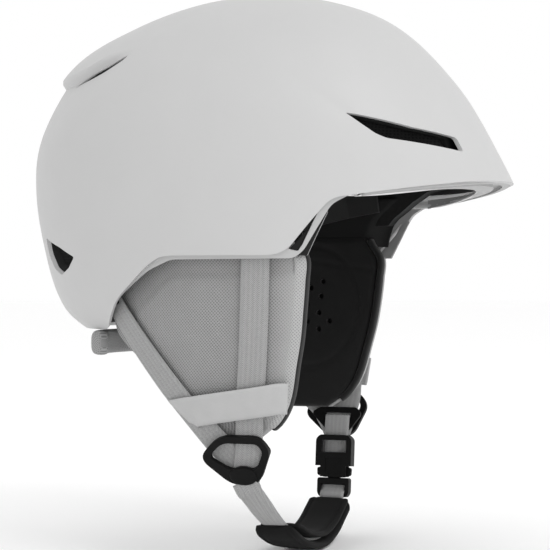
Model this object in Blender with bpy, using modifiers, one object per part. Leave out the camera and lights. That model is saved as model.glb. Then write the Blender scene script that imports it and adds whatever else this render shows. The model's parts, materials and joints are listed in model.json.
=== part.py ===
"""Ski helmet: a hard shell over a foam liner, comfort pads, a rear fit dial with rack tails,
soft ear pads, a webbing harness with two clamping dividers, and a side-release chin buckle.

Millimetres inside the functions, metres in the meshes. The origin is the crown of the wearer's
head where it meets the crown pad. -Y is forward, +X is the wearer's left, +Z is up.
In the comments and names, "forward" is -Y and side is -1 for the wearer's right, +1 for the left.
"""
import math

import bmesh
import bpy
from mathutils import Matrix, Vector

MM = 0.001
GAP = 0.3                      # clearance between pieces that touch

# ---- dome: polar radii about (0, 0, CENTRE_Z) against the angle from straight up ----
CENTRE_Z = -60.0
SECTION_POWER = 2.05
CROWN_R = 95.5
FRONT_PROFILE = [(0, CROWN_R), (20, 98.0), (40, 104.5), (60, 110.0), (75, 117.5), (84, 123.0),
                 (92, 124.0), (101, 120.0), (115, 115.0), (135, 112.0)]
FLARE_START = 80.0             # the brim flares out below this angle
FLARE_RATE = 0.06
FLARE_END = 101.0
SIDE_PROFILE = [(0, CROWN_R), (25, 98.5), (50, 103.0), (75, 105.5), (90, 106.0), (100, 107.7),
                (115, 113.5), (130, 122.0), (140, 126.0)]
REAR_PROFILE = [(0, CROWN_R), (25, 101.0), (45, 112.3), (65, 132.0), (80, 138.0), (95, 140.0),
                (108, 141.5), (123, 145.6), (130, 141.5), (140, 132.0)]
BROW_SETBACK = 4.5             # the foam stands this much further back behind the brim
BROW_FADE = (74.0, 90.0)
LIP_START = 124.0              # where the raised rear lip begins, degrees round from the front
LIP_RAMP = 16.0                # and the degrees over which it rises to its full height
LIP_STEP = 2.0
# the lip's edge: degrees round from the front against degrees from straight up
LIP_EDGE = [(124, 57.0), (132.6, 59.0), (139.4, 61.8), (146, 65.6), (152, 67.2), (180, 67.6)]
SCOOP_DEPTH = 4.5
SCOOP_FADE = 22.0              # degrees below the edge in which the hollow runs out
SHELL_WALL = 2.2
FOAM_OFFSET = SHELL_WALL + GAP
SEGMENTS = 36
RINGS = 26
PAD_SEGMENTS = 24
PAD_RINGS = 16

# ---- side outlines, (forward, up) ----
RIM = [(150, -68), (134, -69), (115, -72.3), (60, -81), (50.8, -91.6), (43.6, -100.2), (39.0, -105.8),
       (34, -109), (28, -110), (-24, -110), (-31, -110.8), (-39.5, -115.6), (-49.5, -123.9),
       (-61, -133), (-74.4, -149.2), (-80, -150.5), (-160, -150.5)]
FOAM_RIM = [(150, -60), (74, -71), (63.5, -76.5), (50, -86), (46, -90.2), (-40, -90), (-62, -110),
            (-82, -138), (-95, -143), (-160, -143)]
TRIM_TOP = [(69.6, -73.3), (63.5, -76.5), (50, -86), (46, -90.2), (-40, -90), (-62, -110), (-82, -138),
            (-95, -143), (-98, -143)]
TRIM_BOTTOM = [(69.6, -78.5), (59.5, -84), (45, -107.5), (40, -111.5), (-25, -112), (-40, -118.0),
               (-60, -131.5), (-76, -145), (-98, -148.5)]
TRIM_WALL = 2.0
TRIM_START_X = 46.0

# ---- vents: outlines as (degrees round from the front, degrees from straight up) ----
BROW_VENT = [(52.8, 78.3), (49.2, 81.2), (45.4, 84.0), (42.5, 85.2), (20.0, 88.0), (20.9, 84.5),
             (34.4, 82.3)]
EXHAUST_SLOT = [(146.8, 67.6), (141.5, 66.0), (135.8, 63.6), (128.8, 60.6), (127.3, 57.8),
                (134.4, 59.2), (141.2, 62.4)]
REAR_VENT = [(154.8, 107.0), (145.8, 110.1), (139.1, 113.1), (143.1, 115.3), (148.5, 116.4),
             (152.6, 114.6), (155.2, 110.9)]
VENT_DEPTH = 13.0
SCREEN_DEPTHS = (5.0, 11.0)

# ---- cavity for the head, and the pads in it ----
CAVITY_FRONT = [(0, 68.5), (45, 84.0), (90, 105.0), (120, 107.0), (140, 107.0)]
CAVITY_SIDE = [(0, 68.5), (45, 74.0), (90, 85.0), (120, 98.0), (140, 98.0)]
CAVITY_REAR = [(0, 68.5), (45, 87.0), (90, 112.0), (120, 131.0), (140, 131.0)]
CROWN_GAP = 0.7
CROWN_PAD = 7.8
CROWN_PAD_KEEP = ((-38, -52, -30), (38, 50, 30))
PAD_GAP = 1.6
# the other pads: (degrees round, degrees from straight up, thickness, columns, rows)
BROW_PAD = ((-42, 42), (66, 91), 7.0, 12, 3)
TEMPLE_PAD = ((52, 88), (56, 88), 5.5, 5, 4)
SIDE_PAD = ((98, 132), (58, 94), 6.0, 5, 4)
REAR_PAD = ((145, 215), (62, 100), 7.0, 9, 4)

# ---- ear pads ----
EAR_TOP = -97.0
EAR_BOTTOM = {-1: -206.0, 1: -199.5}
EAR_FRONT_EDGE = [(0.0, 35), (0.13, 42.4), (0.24, 42), (0.38, 40.5), (0.51, 38.6), (0.64, 35.6),
                  (0.81, 31.2), (0.92, 24.5), (1.0, 14)]
EAR_REAR_EDGE = [(0.0, -30), (0.09, -48), (0.24, -62), (0.39, -71), (0.5, -71), (0.66, -51),
                 (0.95, -24), (1.0, -14)]
EAR_FACE = [(-225, 65.0), (-206, 72.0), (-180, 81.5), (-140, 90.5), (-110, 93.3), (-95, 93.5)]
EAR_BEND = (0.0045, 0.0052)    # how fast it curves in, forward of and behind the ear
EAR_THICK = 8.0
LINING_THICK = 5.5

# ---- webbing ----
WEB = 15.0
WEB_THICK = 1.4
FRONT_LIFT = 1.8               # webbing's middle above the ear pad's face
REAR_LIFT = 2.5
BAND_LIFT = 5.0

# ---- dividers: a local frame (forward, up along the face, outward) at each ----
DIVIDER_LEAN = 20.0
DIVIDER_AT = {-1: (73.0, 6.5, -215.0), 1: (75.5, 17.2, -203.0)}
CLAMP_OUTLINE = [(-24.0, 0.0), (-11.5, 12.8), (11.0, 12.8), (16.5, 5.0), (8.5, -14.5), (-6.5, -15.5)]
CLAMP_WINDOW = [(-18.5, 0.5), (-10.0, 9.0), (9.5, 9.0), (12.3, 4.5), (7.5, -6.0), (-7.5, -6.5)]
PLATE_OUTLINE = [(-17.0, -2.0), (-12.0, 6.0), (11.5, 6.0), (14.5, 2.0), (7.5, -13.0), (-5.5, -13.5)]
CLAMP_HINGE = (0.0, 12.0, 3.6)
CLAMP_LAYER = (1.6, 4.4)
PLATE_LAYER = (-4.0, -2.2)

# ---- chin loop: stations as (x, forward, up) ----
RIGHT_PIVOT = (-72.0, 6.5, -230.5)
LEFT_PIVOT = (69.0, 17.5, -203.5)
CHIN_ROUTE = [(-71.6, 9.0, -233.4), (-67.6, 13.2, -241.0), (-57.5, 17.4, -251.5), (-31.0, 18.6, -263.0),
              (0.0, 18.6, -268.3), (25.0, 17.9, -265.6), (43.6, 17.4, -259.2), (55.8, 17.5, -253.6)]
OUTER_CHIN_PAD = (0.30, 0.99)
INNER_CHIN_PAD = (0.335, 0.97)
CHIN_PAD_WIDTH = 24.0
CHIN_PAD_THICK = 3.6

# ---- buckle: local frame (forward, up, outward) ----
BUCKLE_AT = (61.8, 17.5, -236.0)
BUCKLE_LEAN = 6.4
SOCKET_HALF = (11.0, 4.0)      # half width forward, half thickness
SOCKET_SPAN = (-5.0, 20.0)
PLUG_SPAN = (-17.0, -5.6)
PRONG_ROOT = 5.0 * MM

# ---- fit dial and racks at the nape ----
DIAL_Z = -133.0
DIAL_R = 13.0
DIAL_Y = (100.0, 110.0)
PINION_TEETH = 10
MODULE = 1.0
PRESSURE_ANGLE = math.radians(20.0)
PINION_ADDENDUM = 0.9
PINION_DEDENDUM = 0.95
RACK_ADDENDUM = 0.5
RACK_DEDENDUM = 1.25
RACK_TEETH = range(-2, 6)
RACK_ENDS = (-9.0, 44.0)
RACK_HEIGHT = 10.5
BACKLASH = 0.22
RACK_Y = (94.7, 97.0)
HOUSING_HALF_X = 22.0
HOUSING_HALF_Z = 12.2
GRIPS = 24
GRIP_DEPTH = 1.1
NECK_PAD_Z = -157.3

COLOURS = {
    "shell": ((0.72, 0.72, 0.73), 0.55), "trim": ((0.50, 0.50, 0.51), 0.6),
    "foam": ((0.045, 0.045, 0.05), 0.9), "screen": ((0.02, 0.02, 0.022), 0.85),
    "liner": ((0.022, 0.022, 0.024), 0.95), "band": ((0.05, 0.05, 0.055), 0.5),
    "mesh": ((0.28, 0.28, 0.28), 0.95), "edge": ((0.48, 0.48, 0.47), 0.9),
    "web": ((0.47, 0.47, 0.45), 0.9), "patch": ((0.50, 0.50, 0.50), 0.8),
    "clip": ((0.018, 0.018, 0.02), 0.45), "steel": ((0.55, 0.55, 0.56), 0.35),
}


# ------------------------------------------------------------------ curves and the dome surface
def through(knots, t):
    """Smooth curve through (t, value) knots, flat beyond both ends."""
    t = min(max(t, knots[0][0]), knots[-1][0])
    last = len(knots) - 1
    i = next((k for k in range(last) if t <= knots[k + 1][0]), last - 1)

    def slope(k):
        a, b = knots[max(k - 1, 0)], knots[min(k + 1, last)]
        return (b[1] - a[1]) / (b[0] - a[0])

    (t0, y0), (t1, y1) = knots[i], knots[i + 1]
    h = t1 - t0
    s = (t - t0) / h
    m0 = 0.0 if i == 0 else slope(i) * h
    m1 = slope(i + 1) * h
    return ((2 * s**3 - 3 * s**2 + 1) * y0 + (s**3 - 2 * s**2 + s) * m0
            + (3 * s**2 - 2 * s**3) * y1 + (s**3 - s**2) * m1)


def ease(t):
    t = min(max(t, 0.0), 1.0)
    return t * t * (3 - 2 * t)


def oval(front, side, rear, tau):
    """Radius of an egg with these front, side and rear profiles. tau is in radians."""
    c, s = math.cos(tau), abs(math.sin(tau))
    along = front if c > 0 else rear
    return ((abs(c) / along) ** SECTION_POWER + (s / side) ** SECTION_POWER) ** (-1 / SECTION_POWER)


def scoop(tau, psi):
    """Depth of the hollow under the raised rear lip."""
    round_deg = abs(math.degrees(tau))
    below = psi - through(LIP_EDGE, round_deg)
    return (SCOOP_DEPTH * ease((round_deg - LIP_START) / LIP_RAMP) * ease(below / LIP_STEP + 0.5)
            * (1 - ease(below / SCOOP_FADE)))


def dome_radius(tau, psi, offset=0.0):
    flare = FLARE_RATE * (min(max(psi, FLARE_START), FLARE_END) - FLARE_START) ** 2
    flare *= max(math.cos(tau), 0.0) ** 3
    front = through(FRONT_PROFILE, psi) + flare
    r = oval(front, through(SIDE_PROFILE, psi), through(REAR_PROFILE, psi), tau)
    return r - scoop(tau, psi) - offset


def foam_radius(tau, psi, offset=0.0):
    """The foam follows the dome but not the brim."""
    r = oval(through(FRONT_PROFILE, psi), through(SIDE_PROFILE, psi), through(REAR_PROFILE, psi), tau)
    start, end = BROW_FADE
    brow = BROW_SETBACK * ease((psi - start) / (end - start)) * max(math.cos(tau), 0.0) ** 2
    return r - scoop(tau, psi) - brow - offset


def cavity_radius(tau, psi, offset=0.0):
    return oval(through(CAVITY_FRONT, psi), through(CAVITY_SIDE, psi), through(CAVITY_REAR, psi),
                tau) - offset


def polar(tau, psi, r):
    """Point at tau round from the front (radians) and psi from straight up (degrees)."""
    up = math.radians(psi)
    flat = r * math.sin(up)
    return Vector((flat * math.sin(tau), -flat * math.cos(tau), CENTRE_Z + r * math.cos(up)))


# ------------------------------------------------------------------------------ object helpers
def material(name, kind):
    colour, roughness = COLOURS[kind]
    mat = bpy.data.materials.new(name)
    mat.use_nodes = True
    shader = mat.node_tree.nodes["Principled BSDF"]
    shader.inputs["Base Color"].default_value = (*colour, 1)
    shader.inputs["Roughness"].default_value = roughness
    shader.inputs["Metallic"].default_value = 1.0 if kind == "steel" else 0.0
    return mat


def add_part(obj, kind):
    """Put an object among the helmet's parts, with its own material."""
    helmet.objects.link(obj)
    obj.data.materials.clear()
    obj.data.materials.append(material(obj.name, kind))
    return obj


def add_cutter(obj):
    cutters.objects.link(obj)
    obj.hide_render = True
    obj.display_type = "WIRE"
    return obj


def mesh_object(name, bm):
    bmesh.ops.recalc_face_normals(bm, faces=bm.faces)
    bmesh.ops.triangulate(bm, faces=bm.faces)
    mesh = bpy.data.meshes.new(name)
    bm.to_mesh(mesh)
    bm.free()
    return bpy.data.objects.new(name, mesh)


def boolean(obj, other, operation="DIFFERENCE"):
    mod = obj.modifiers.new(other.name, "BOOLEAN")
    mod.object = other
    mod.operation = operation
    mod.solver = "EXACT"


def egg(name, radius, offset, segments=SEGMENTS, rings=RINGS):
    """Closed surface of a polar radius function, from a sphere."""
    bm = bmesh.new()
    bmesh.ops.create_uvsphere(bm, u_segments=segments, v_segments=rings, radius=1.0)
    for v in bm.verts:
        tau = math.atan2(v.co.x, -v.co.y)
        psi = math.degrees(math.acos(min(max(v.co.z, -1.0), 1.0)))
        v.co = polar(tau, psi, radius(tau, psi, offset)) * MM
    return mesh_object(name, bm)


def place(obj, frame):
    """Put an object in a frame; a left-handed frame mirrors the mesh and not the object."""
    if frame.determinant() < 0:
        obj.data.transform(Matrix.Scale(-1, 4, (1, 0, 0)))
        obj.data.flip_normals()
        frame = frame @ Matrix.Scale(-1, 4, (1, 0, 0))
    obj.matrix_world = frame
    return obj


def box(name, start, end, frame=None, chamfer=0.0):
    """Box between two corners, in mm, in the world or in a local frame."""
    low = [min(a, b) for a, b in zip(start, end)]
    high = [max(a, b) for a, b in zip(start, end)]
    bm = bmesh.new()
    bmesh.ops.create_cube(bm, size=1.0)
    for v in bm.verts:
        v.co = Vector([(low[i] + (v.co[i] + 0.5) * (high[i] - low[i])) * MM for i in range(3)])
    if chamfer:
        bmesh.ops.bevel(bm, geom=bm.edges[:], offset=chamfer * MM, segments=1, affect="EDGES")
    return place(mesh_object(name, bm), frame or Matrix.Identity(4))


def rod(name, start, end, radius, sides=20):
    """Cylinder between two points."""
    a, b = Vector(start) * MM, Vector(end) * MM
    bm = bmesh.new()
    bmesh.ops.create_cone(bm, cap_ends=True, segments=sides, radius1=radius * MM,
                          radius2=radius * MM, depth=(b - a).length)
    turn = (b - a).to_track_quat("Z", "Y").to_matrix().to_4x4()
    return place(mesh_object(name, bm), Matrix.Translation((a + b) / 2) @ turn)


def rounded(points, radius, steps=3):
    """Closed outline with its corners turned into arcs of straight steps."""
    out = []
    n = len(points)
    for i in range(n):
        p = Vector(points[i])
        a = (Vector(points[i - 1]) - p).normalized()
        b = (Vector(points[(i + 1) % n]) - p).normalized()
        cut = min(radius, 0.45 * min((Vector(points[i - 1]) - p).length,
                                     (Vector(points[(i + 1) % n]) - p).length))
        for k in range(steps + 1):
            t = k / steps
            out.append(tuple((1 - t) ** 2 * (p + a * cut) + 2 * t * (1 - t) * p + t**2 * (p + b * cut)))
    return out


def slab(name, outlines, low, high, frame):
    """Flat outlines (the first is the edge, others are holes) between two heights, as a mesh."""
    curve = bpy.data.curves.new(name + "_outline", "CURVE")
    curve.dimensions = "2D"
    curve.fill_mode = "BOTH"
    curve.extrude = (high - low) / 2 * MM
    for outline in outlines:
        spline = curve.splines.new("POLY")
        spline.points.add(len(outline) - 1)
        spline.use_cyclic_u = True
        for point, (a, b) in zip(spline.points, outline):
            point.co = (a * MM, b * MM, 0, 1)
    flat = bpy.data.objects.new(name + "_outline", curve)
    bpy.context.scene.collection.objects.link(flat)
    evaluated = flat.evaluated_get(bpy.context.evaluated_depsgraph_get())
    mesh = bpy.data.meshes.new_from_object(evaluated)
    bpy.data.objects.remove(flat)
    bm = bmesh.new()
    bm.from_mesh(mesh)
    bmesh.ops.remove_doubles(bm, verts=bm.verts, dist=0.00001)
    bmesh.ops.translate(bm, verts=bm.verts, vec=(0, 0, (low + high) / 2 * MM))
    return place(mesh_object(name, bm), frame)


def side_cutter(name, outline, half=150.0):
    """Prism across the helmet from a (forward, up) outline."""
    frame = Matrix(((0, 0, 1, 0), (-1, 0, 0, 0), (0, 1, 0, 0), (0, 0, 0, 1)))
    return add_cutter(slab(name, [outline], -half, half, frame))


def loft(name, rings):
    """Closed solid through rings with the same number of points, given in mm."""
    bm = bmesh.new()
    rows = [[bm.verts.new(Vector(p) * MM) for p in ring] for ring in rings]
    count = len(rows[0])
    for a, b in zip(rows, rows[1:]):
        for i in range(count):
            j = (i + 1) % count
            bm.faces.new((a[i], a[j], b[j], b[i]))
    bm.faces.new(rows[0])
    bm.faces.new(rows[-1])
    return mesh_object(name, bm)


def sweep(name, centres, acrosses, section):
    """Carry a section of (across, outward) points along a route of centres."""
    rings = []
    last = len(centres) - 1
    for i, (centre, across) in enumerate(zip(centres, acrosses)):
        here = Vector(centre)
        ahead = Vector(centres[min(i + 1, last)]) - Vector(centres[max(i - 1, 0)])
        wide = Vector(across)
        wide = (wide - ahead * wide.dot(ahead) / ahead.length_squared).normalized()
        out = wide.cross(ahead).normalized()
        rings.append([here + wide * a + out * b for a, b in section])
    return loft(name, rings)


def flat_section(width, low, high):
    return [(-width / 2, low), (width / 2, low), (width / 2, high), (-width / 2, high)]


def pillow_section(width, low, high):
    """Eight-sided section with soft corners."""
    a, c = width / 2, min(width, high - low) * 0.3
    return [(-a + c, low), (a - c, low), (a, low + c), (a, high - c), (a - c, high), (-a + c, high),
            (-a, high - c), (-a, low + c)]


def local_frame(at, lean, side=1):
    """Columns: forward, up leaning outward, outward. at is (x from the middle, forward, up)."""
    s, c = math.sin(math.radians(lean)), math.cos(math.radians(lean))
    forward, up, out = Vector((0, -1, 0)), Vector((side * s, 0, c)), Vector((side * c, 0, -s))
    frame = Matrix.Identity(4)
    for column, axis in enumerate((forward, up, out)):
        for row in range(3):
            frame[row][column] = axis[row]
    frame.translation = Vector((side * at[0], -at[1], at[2])) * MM
    return frame


def side_name(side):
    return "left" if side > 0 else "right"


# ------------------------------------------------------------------------- shell, foam and vents
def vent_loop(outline, side, depth, grow=1.0):
    """Vent outline on the dome at a depth, grown or shrunk about its middle."""
    mid_tau = sum(p[0] for p in outline) / len(outline)
    mid_psi = sum(p[1] for p in outline) / len(outline)
    loop = []
    for tau_deg, psi in outline:
        tau = side * math.radians(mid_tau + (tau_deg - mid_tau) * grow)
        psi = mid_psi + (psi - mid_psi) * grow
        loop.append(polar(tau, psi, dome_radius(tau, psi, depth)))
    return loop


def vent_pieces(label, outline, side):
    """Cutter for shell and foam, and the dark screen at the bottom of the duct."""
    name = f"{label}_{side_name(side)}"
    cutter = add_cutter(loft(name + "_cutter", [vent_loop(outline, side, -6.0),
                                                vent_loop(outline, side, VENT_DEPTH)]))
    screen = loft(name, [vent_loop(outline, side, SCREEN_DEPTHS[0], 0.88),
                         vent_loop(outline, side, SCREEN_DEPTHS[1], 0.88)])
    add_part(screen, "screen")
    return cutter


def build_shell(vents):
    shell = add_part(egg("outer_shell", dome_radius, 0.0), "shell")
    boolean(shell, add_cutter(egg("shell_inside", dome_radius, SHELL_WALL)))
    boolean(shell, side_cutter("rim_cutter", RIM + [(-160, -260), (150, -260)]))
    for cutter in vents:
        boolean(shell, cutter)


def build_foam(vents):
    foam = add_part(egg("foam_liner", foam_radius, FOAM_OFFSET), "foam")
    boolean(foam, add_cutter(egg("head_cavity", cavity_radius, 0.0, 30, 20)))
    boolean(foam, side_cutter("foam_rim_cutter", FOAM_RIM + [(-160, -260), (150, -260)]))
    boolean(foam, add_cutter(box("dial_pocket", (-50, 60, -170), (50, 113, -118))))
    for cutter in vents:
        boolean(foam, cutter)


def build_brim():
    """Underside of the brim: the wedge between the shell's flare and the foam's front."""
    brim = add_part(egg("brim_underside", dome_radius, FOAM_OFFSET), "trim")
    boolean(brim, add_cutter(egg("brim_back_cutter", foam_radius, FOAM_OFFSET - GAP)))
    keep = [(70, -71.0), (92, -68.0), (134, -64.0), (150, -63), (150, -72.0), (134, -70.2), (115, -73.6),
            (70, -80.2)]
    boolean(brim, side_cutter("brim_keep", keep), "INTERSECT")


def build_edge_trim(side):
    """Thin moulded strip that closes the foam's lower edge inside the shell."""
    trim = add_part(egg(f"edge_trim_{side_name(side)}", dome_radius, FOAM_OFFSET), "trim")
    boolean(trim, add_cutter(egg(trim.name + "_inside", dome_radius, FOAM_OFFSET + TRIM_WALL)))
    outline = [(a, b - GAP) for a, b in TRIM_TOP] + list(reversed(TRIM_BOTTOM))
    frame = Matrix(((0, 0, 1, 0), (-1, 0, 0, 0), (0, 1, 0, 0), (0, 0, 0, 1)))
    near, far = sorted((side * TRIM_START_X, side * 150.0))
    boolean(trim, add_cutter(slab(trim.name + "_keep", [outline], near, far, frame)), "INTERSECT")


# --------------------------------------------------------------------------------- comfort pads
def cavity_pad(name, tau_range, psi_range, thickness, columns, rows):
    """Pad on the foam's inner face between two angles each way."""
    bm = bmesh.new()
    bmesh.ops.create_grid(bm, x_segments=columns, y_segments=rows, size=0.5)
    for v in bm.verts:
        tau = math.radians(tau_range[0] + (v.co.x + 0.5) * (tau_range[1] - tau_range[0]))
        psi = psi_range[0] + (v.co.y + 0.5) * (psi_range[1] - psi_range[0])
        v.co = polar(tau, psi, cavity_radius(tau, psi, PAD_GAP)) * MM
    middle = polar(math.radians(sum(tau_range) / 2), sum(psi_range) / 2, 1.0) - Vector((0, 0, CENTRE_Z))
    bm.normal_update()
    if sum((f.normal.dot(middle) for f in bm.faces)) < 0:
        bmesh.ops.reverse_faces(bm, faces=bm.faces)
    mesh = bpy.data.meshes.new(name)
    bm.to_mesh(mesh)
    bm.free()
    pad = add_part(bpy.data.objects.new(name, mesh), "liner")
    solid = pad.modifiers.new("Thickness", "SOLIDIFY")
    solid.thickness = thickness * MM
    solid.offset = -1.0


def build_crown_pad():
    """Round pad under the crown; its underside at the middle is the origin."""
    pad = add_part(egg("crown_pad", cavity_radius, CROWN_GAP, PAD_SEGMENTS, PAD_RINGS), "liner")
    inside = egg("crown_pad_inside", cavity_radius, CROWN_GAP + CROWN_PAD, PAD_SEGMENTS, PAD_RINGS)
    boolean(pad, add_cutter(inside))
    boolean(pad, add_cutter(box("crown_pad_keep", *CROWN_PAD_KEEP)), "INTERSECT")


def build_pads():
    build_crown_pad()
    cavity_pad("brow_pad", *BROW_PAD)
    for side in (-1, 1):
        for label, ((start, end), *rest) in (("temple", TEMPLE_PAD), ("side", SIDE_PAD)):
            around = tuple(sorted((side * start, side * end)))
            cavity_pad(f"{label}_pad_{side_name(side)}", around, *rest)
    cavity_pad("rear_pad", *REAR_PAD)


# ------------------------------------------------------------------------------------ fit system
def involute_gear():
    """Outline of the pinion: real flanks, a tooth centred straight up."""
    pitch = PINION_TEETH * MODULE / 2
    base = pitch * math.cos(PRESSURE_ANGLE)
    tip, root = pitch + PINION_ADDENDUM, pitch - PINION_DEDENDUM

    def flank_angle(r):
        a = math.acos(base / r)
        return math.tan(a) - a

    half = (math.pi * MODULE / 2 - BACKLASH) / 2 / pitch + flank_angle(pitch)
    radii = [base + (tip - base) * k / 3 for k in range(4)]
    points = []
    for tooth in range(PINION_TEETH):
        middle = math.pi / 2 + 2 * math.pi * tooth / PINION_TEETH
        up = [(r, middle - half + flank_angle(r)) for r in radii]
        down = [(r, middle + half - flank_angle(r)) for r in reversed(radii)]
        flanks = [(root, middle - half)] + up + down + [(root, middle + half)]
        points += [(r * math.cos(a), r * math.sin(a)) for r, a in flanks]
    return points


def rack_outline(side, free_end, outer_end, height):
    """Rack in a frame with x along the rack; teeth point at the pinion at the origin.

    The left rack runs over the pinion and the right one under it, turned by half a turn.
    """
    pitch = PINION_TEETH * MODULE / 2
    step = math.pi * MODULE
    slope = math.tan(PRESSURE_ANGLE)
    half = (step / 2 - BACKLASH) / 2
    tip, root = pitch - RACK_ADDENDUM, pitch + RACK_DEDENDUM
    points = []
    for k in RACK_TEETH:
        middle = (k + 0.5) * step
        points += [(middle - half - (root - pitch) * slope, root),
                   (middle - half + (pitch - tip) * slope, tip),
                   (middle + half - (pitch - tip) * slope, tip),
                   (middle + half + (root - pitch) * slope, root)]
    points += [(outer_end, root), (outer_end, height), (free_end, height), (free_end, root)]
    return [(side * a, side * b) for a, b in points]


def nape_frame(y):
    """Columns: +X, +Z, and back to front, so outlines read as seen from inside the helmet."""
    frame = Matrix(((1, 0, 0, 0), (0, 0, -1, 0), (0, 1, 0, 0), (0, 0, 0, 1)))
    frame.translation = Vector((0, y, DIAL_Z)) * MM
    return frame


def build_dial():
    grips = []
    for k in range(GRIPS):
        a = 2 * math.pi * k / GRIPS
        r = DIAL_R if k % 2 else DIAL_R - GRIP_DEPTH
        grips.append((r * math.cos(a), r * math.sin(a)))
    dial = slab("fit_dial", [grips], 0.0, DIAL_Y[1] - DIAL_Y[0], nape_frame(DIAL_Y[1]))
    add_part(dial, "clip")
    pinion = slab("dial_pinion", [involute_gear()], 0.0, RACK_Y[1] - RACK_Y[0], nape_frame(RACK_Y[1]))
    shaft = add_cutter(rod("pinion_shaft", (0, RACK_Y[0] + 0.6, DIAL_Z), (0, DIAL_Y[0] - GAP, DIAL_Z), 3.0))
    add_part(pinion, "clip")
    boolean(pinion, shaft, "UNION")


def build_racks():
    for side in (-1, 1):
        outline = rack_outline(side, *RACK_ENDS, RACK_HEIGHT)
        rack = slab(f"rack_tail_{side_name(side)}", [outline], 0.0, RACK_Y[1] - RACK_Y[0],
                    nape_frame(RACK_Y[1]))
        add_part(rack, "band")


def build_housing():
    """Flat case that guides the racks; the pinion's shaft leaves through its back."""
    top, bottom = DIAL_Z + HOUSING_HALF_Z, DIAL_Z - HOUSING_HALF_Z
    case = box("dial_housing", (-HOUSING_HALF_X, 92.8, bottom), (HOUSING_HALF_X, 99.4, top))
    housing = add_part(case, "band")
    slot = box("rack_slot", (-30, RACK_Y[0] - 0.4, DIAL_Z - 10.9), (30, RACK_Y[1] + 0.4, DIAL_Z + 10.9))
    boolean(housing, add_cutter(slot))
    boolean(housing, add_cutter(rod("shaft_hole", (0, 96, DIAL_Z), (0, 101, DIAL_Z), 3.4)))


def build_fit_band(side):
    """Plastic strip from the temple round the side to the rack tail at the nape."""
    route = [(70.0, 42.0, -76.0), (76.0, 22.0, -79.0), (77.6, 0.0, -84.0), (75.2, -25.0, -92.0),
             (66.0, -46.0, -104.0), (55.0, -62.5, -118.0), (44.0, -82.0, -130.0), (35.0, -90.4, -133.0),
             (24.5, -92.2, -133.0)]
    centres = [(side * x, -forward, up) for x, forward, up in route]
    band = sweep(f"fit_band_{side_name(side)}", centres, [(0, 0, 1)] * len(centres),
                 flat_section(13.0, -0.8, 0.8))
    add_part(band, "band")


def build_neck_pad():
    """Soft roll round the nape, below the dial, thinner at the middle so a finger reaches the dial."""
    half = [(62.0, 78.0), (54.0, 84.0), (43.0, 87.5), (28.0, 88.0), (12.0, 85.0), (0.0, 84.0)]
    route = [(-x, y) for x, y in half] + [(x, y) for x, y in reversed(half[:-1])]
    centres = [(x, y, NECK_PAD_Z) for x, y in route]
    pad = sweep("neck_pad", centres, [(0, 0, 1)] * len(centres), pillow_section(12.0, -5.0, 5.0))
    add_part(pad, "mesh")


# -------------------------------------------------------------------------------------- ear pads
def ear_face(forward, up):
    """Distance of the pad's outer face from the middle plane: it hugs the jaw and the nape."""
    bend = EAR_BEND[0] * max(forward - 5.0, 0.0) ** 2 + EAR_BEND[1] * min(forward, 0.0) ** 2
    return through(EAR_FACE, up) - bend


def ear_point(side, u, v, inset, depth):
    """Point on the ear pad: u from rear to front, v from top to bottom."""
    up = EAR_TOP + v * (EAR_BOTTOM[side] - EAR_TOP)
    front = through(EAR_FRONT_EDGE, v) - inset
    rear = through(EAR_REAR_EDGE, v) + inset
    forward = rear + u * (front - rear)
    return Vector((side * (ear_face(forward, up) - depth), -forward, up))


def ear_layer(name, side, inset, depth, thickness, kind):
    """One layer of the ear pad, as a sheet with thickness towards the head."""
    bm = bmesh.new()
    bmesh.ops.create_grid(bm, x_segments=8, y_segments=11, size=0.5)
    for v in bm.verts:
        v.co = ear_point(side, v.co.x + 0.5, 0.5 - v.co.y, inset, depth) * MM
    back = bmesh.ops.extrude_face_region(bm, geom=bm.faces[:], use_keep_orig=True)["geom"]
    back = [v for v in back if isinstance(v, bmesh.types.BMVert)]
    bmesh.ops.translate(bm, verts=back, vec=(-side * thickness * MM, 0, 0))
    add_part(mesh_object(name, bm), kind)


def build_ear_binding(side):
    """Bound front edge of the ear pad."""
    centres = []
    for k in range(10):
        v = 0.16 + 0.75 * k / 9        # share of the pad's height
        p = ear_point(side, 1.0, v, 0.0, EAR_THICK / 2)
        centres.append((p.x, p.y - 1.4, p.z))
    binding = sweep(f"ear_binding_{side_name(side)}", centres, [(1, 0, 0)] * len(centres),
                    pillow_section(8.0, -1.1, 1.1))
    add_part(binding, "edge")


def build_ear_pads():
    for side in (-1, 1):
        word = side_name(side)
        ear_layer(f"ear_pad_{word}", side, 0.0, 0.0, EAR_THICK, "mesh")
        ear_layer(f"ear_lining_{word}", side, 2.0, EAR_THICK + GAP + 0.2, LINING_THICK, "liner")
        build_ear_binding(side)
        for label, forward in (("front", 32.0), ("rear", -22.0)):
            build_pad_snap(side, label, forward)


def build_pad_snap(side, label, forward):
    """Press stud that holds the ear pad's top behind the foam edge."""
    up = EAR_TOP - 6.0
    face = ear_face(forward, up)
    stud = rod(f"pad_snap_{label}_{side_name(side)}", (side * (face + 1.5), -forward, up),
               (side * (face + 2.7), -forward, up), 3.8, 16)
    add_part(stud, "steel")


# --------------------------------------------------------------------------------------- harness
def on_divider(side, forward, up, out, across):
    """Station in a divider's local frame: its place and the webbing's width direction, in mm."""
    frame = local_frame(DIVIDER_AT[side], DIVIDER_LEAN, side)
    here = frame @ (Vector((forward, up, out)) * MM) / MM
    beside = frame @ (Vector((forward + across[0], up + across[1], out)) * MM) / MM
    return here, beside - here


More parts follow.
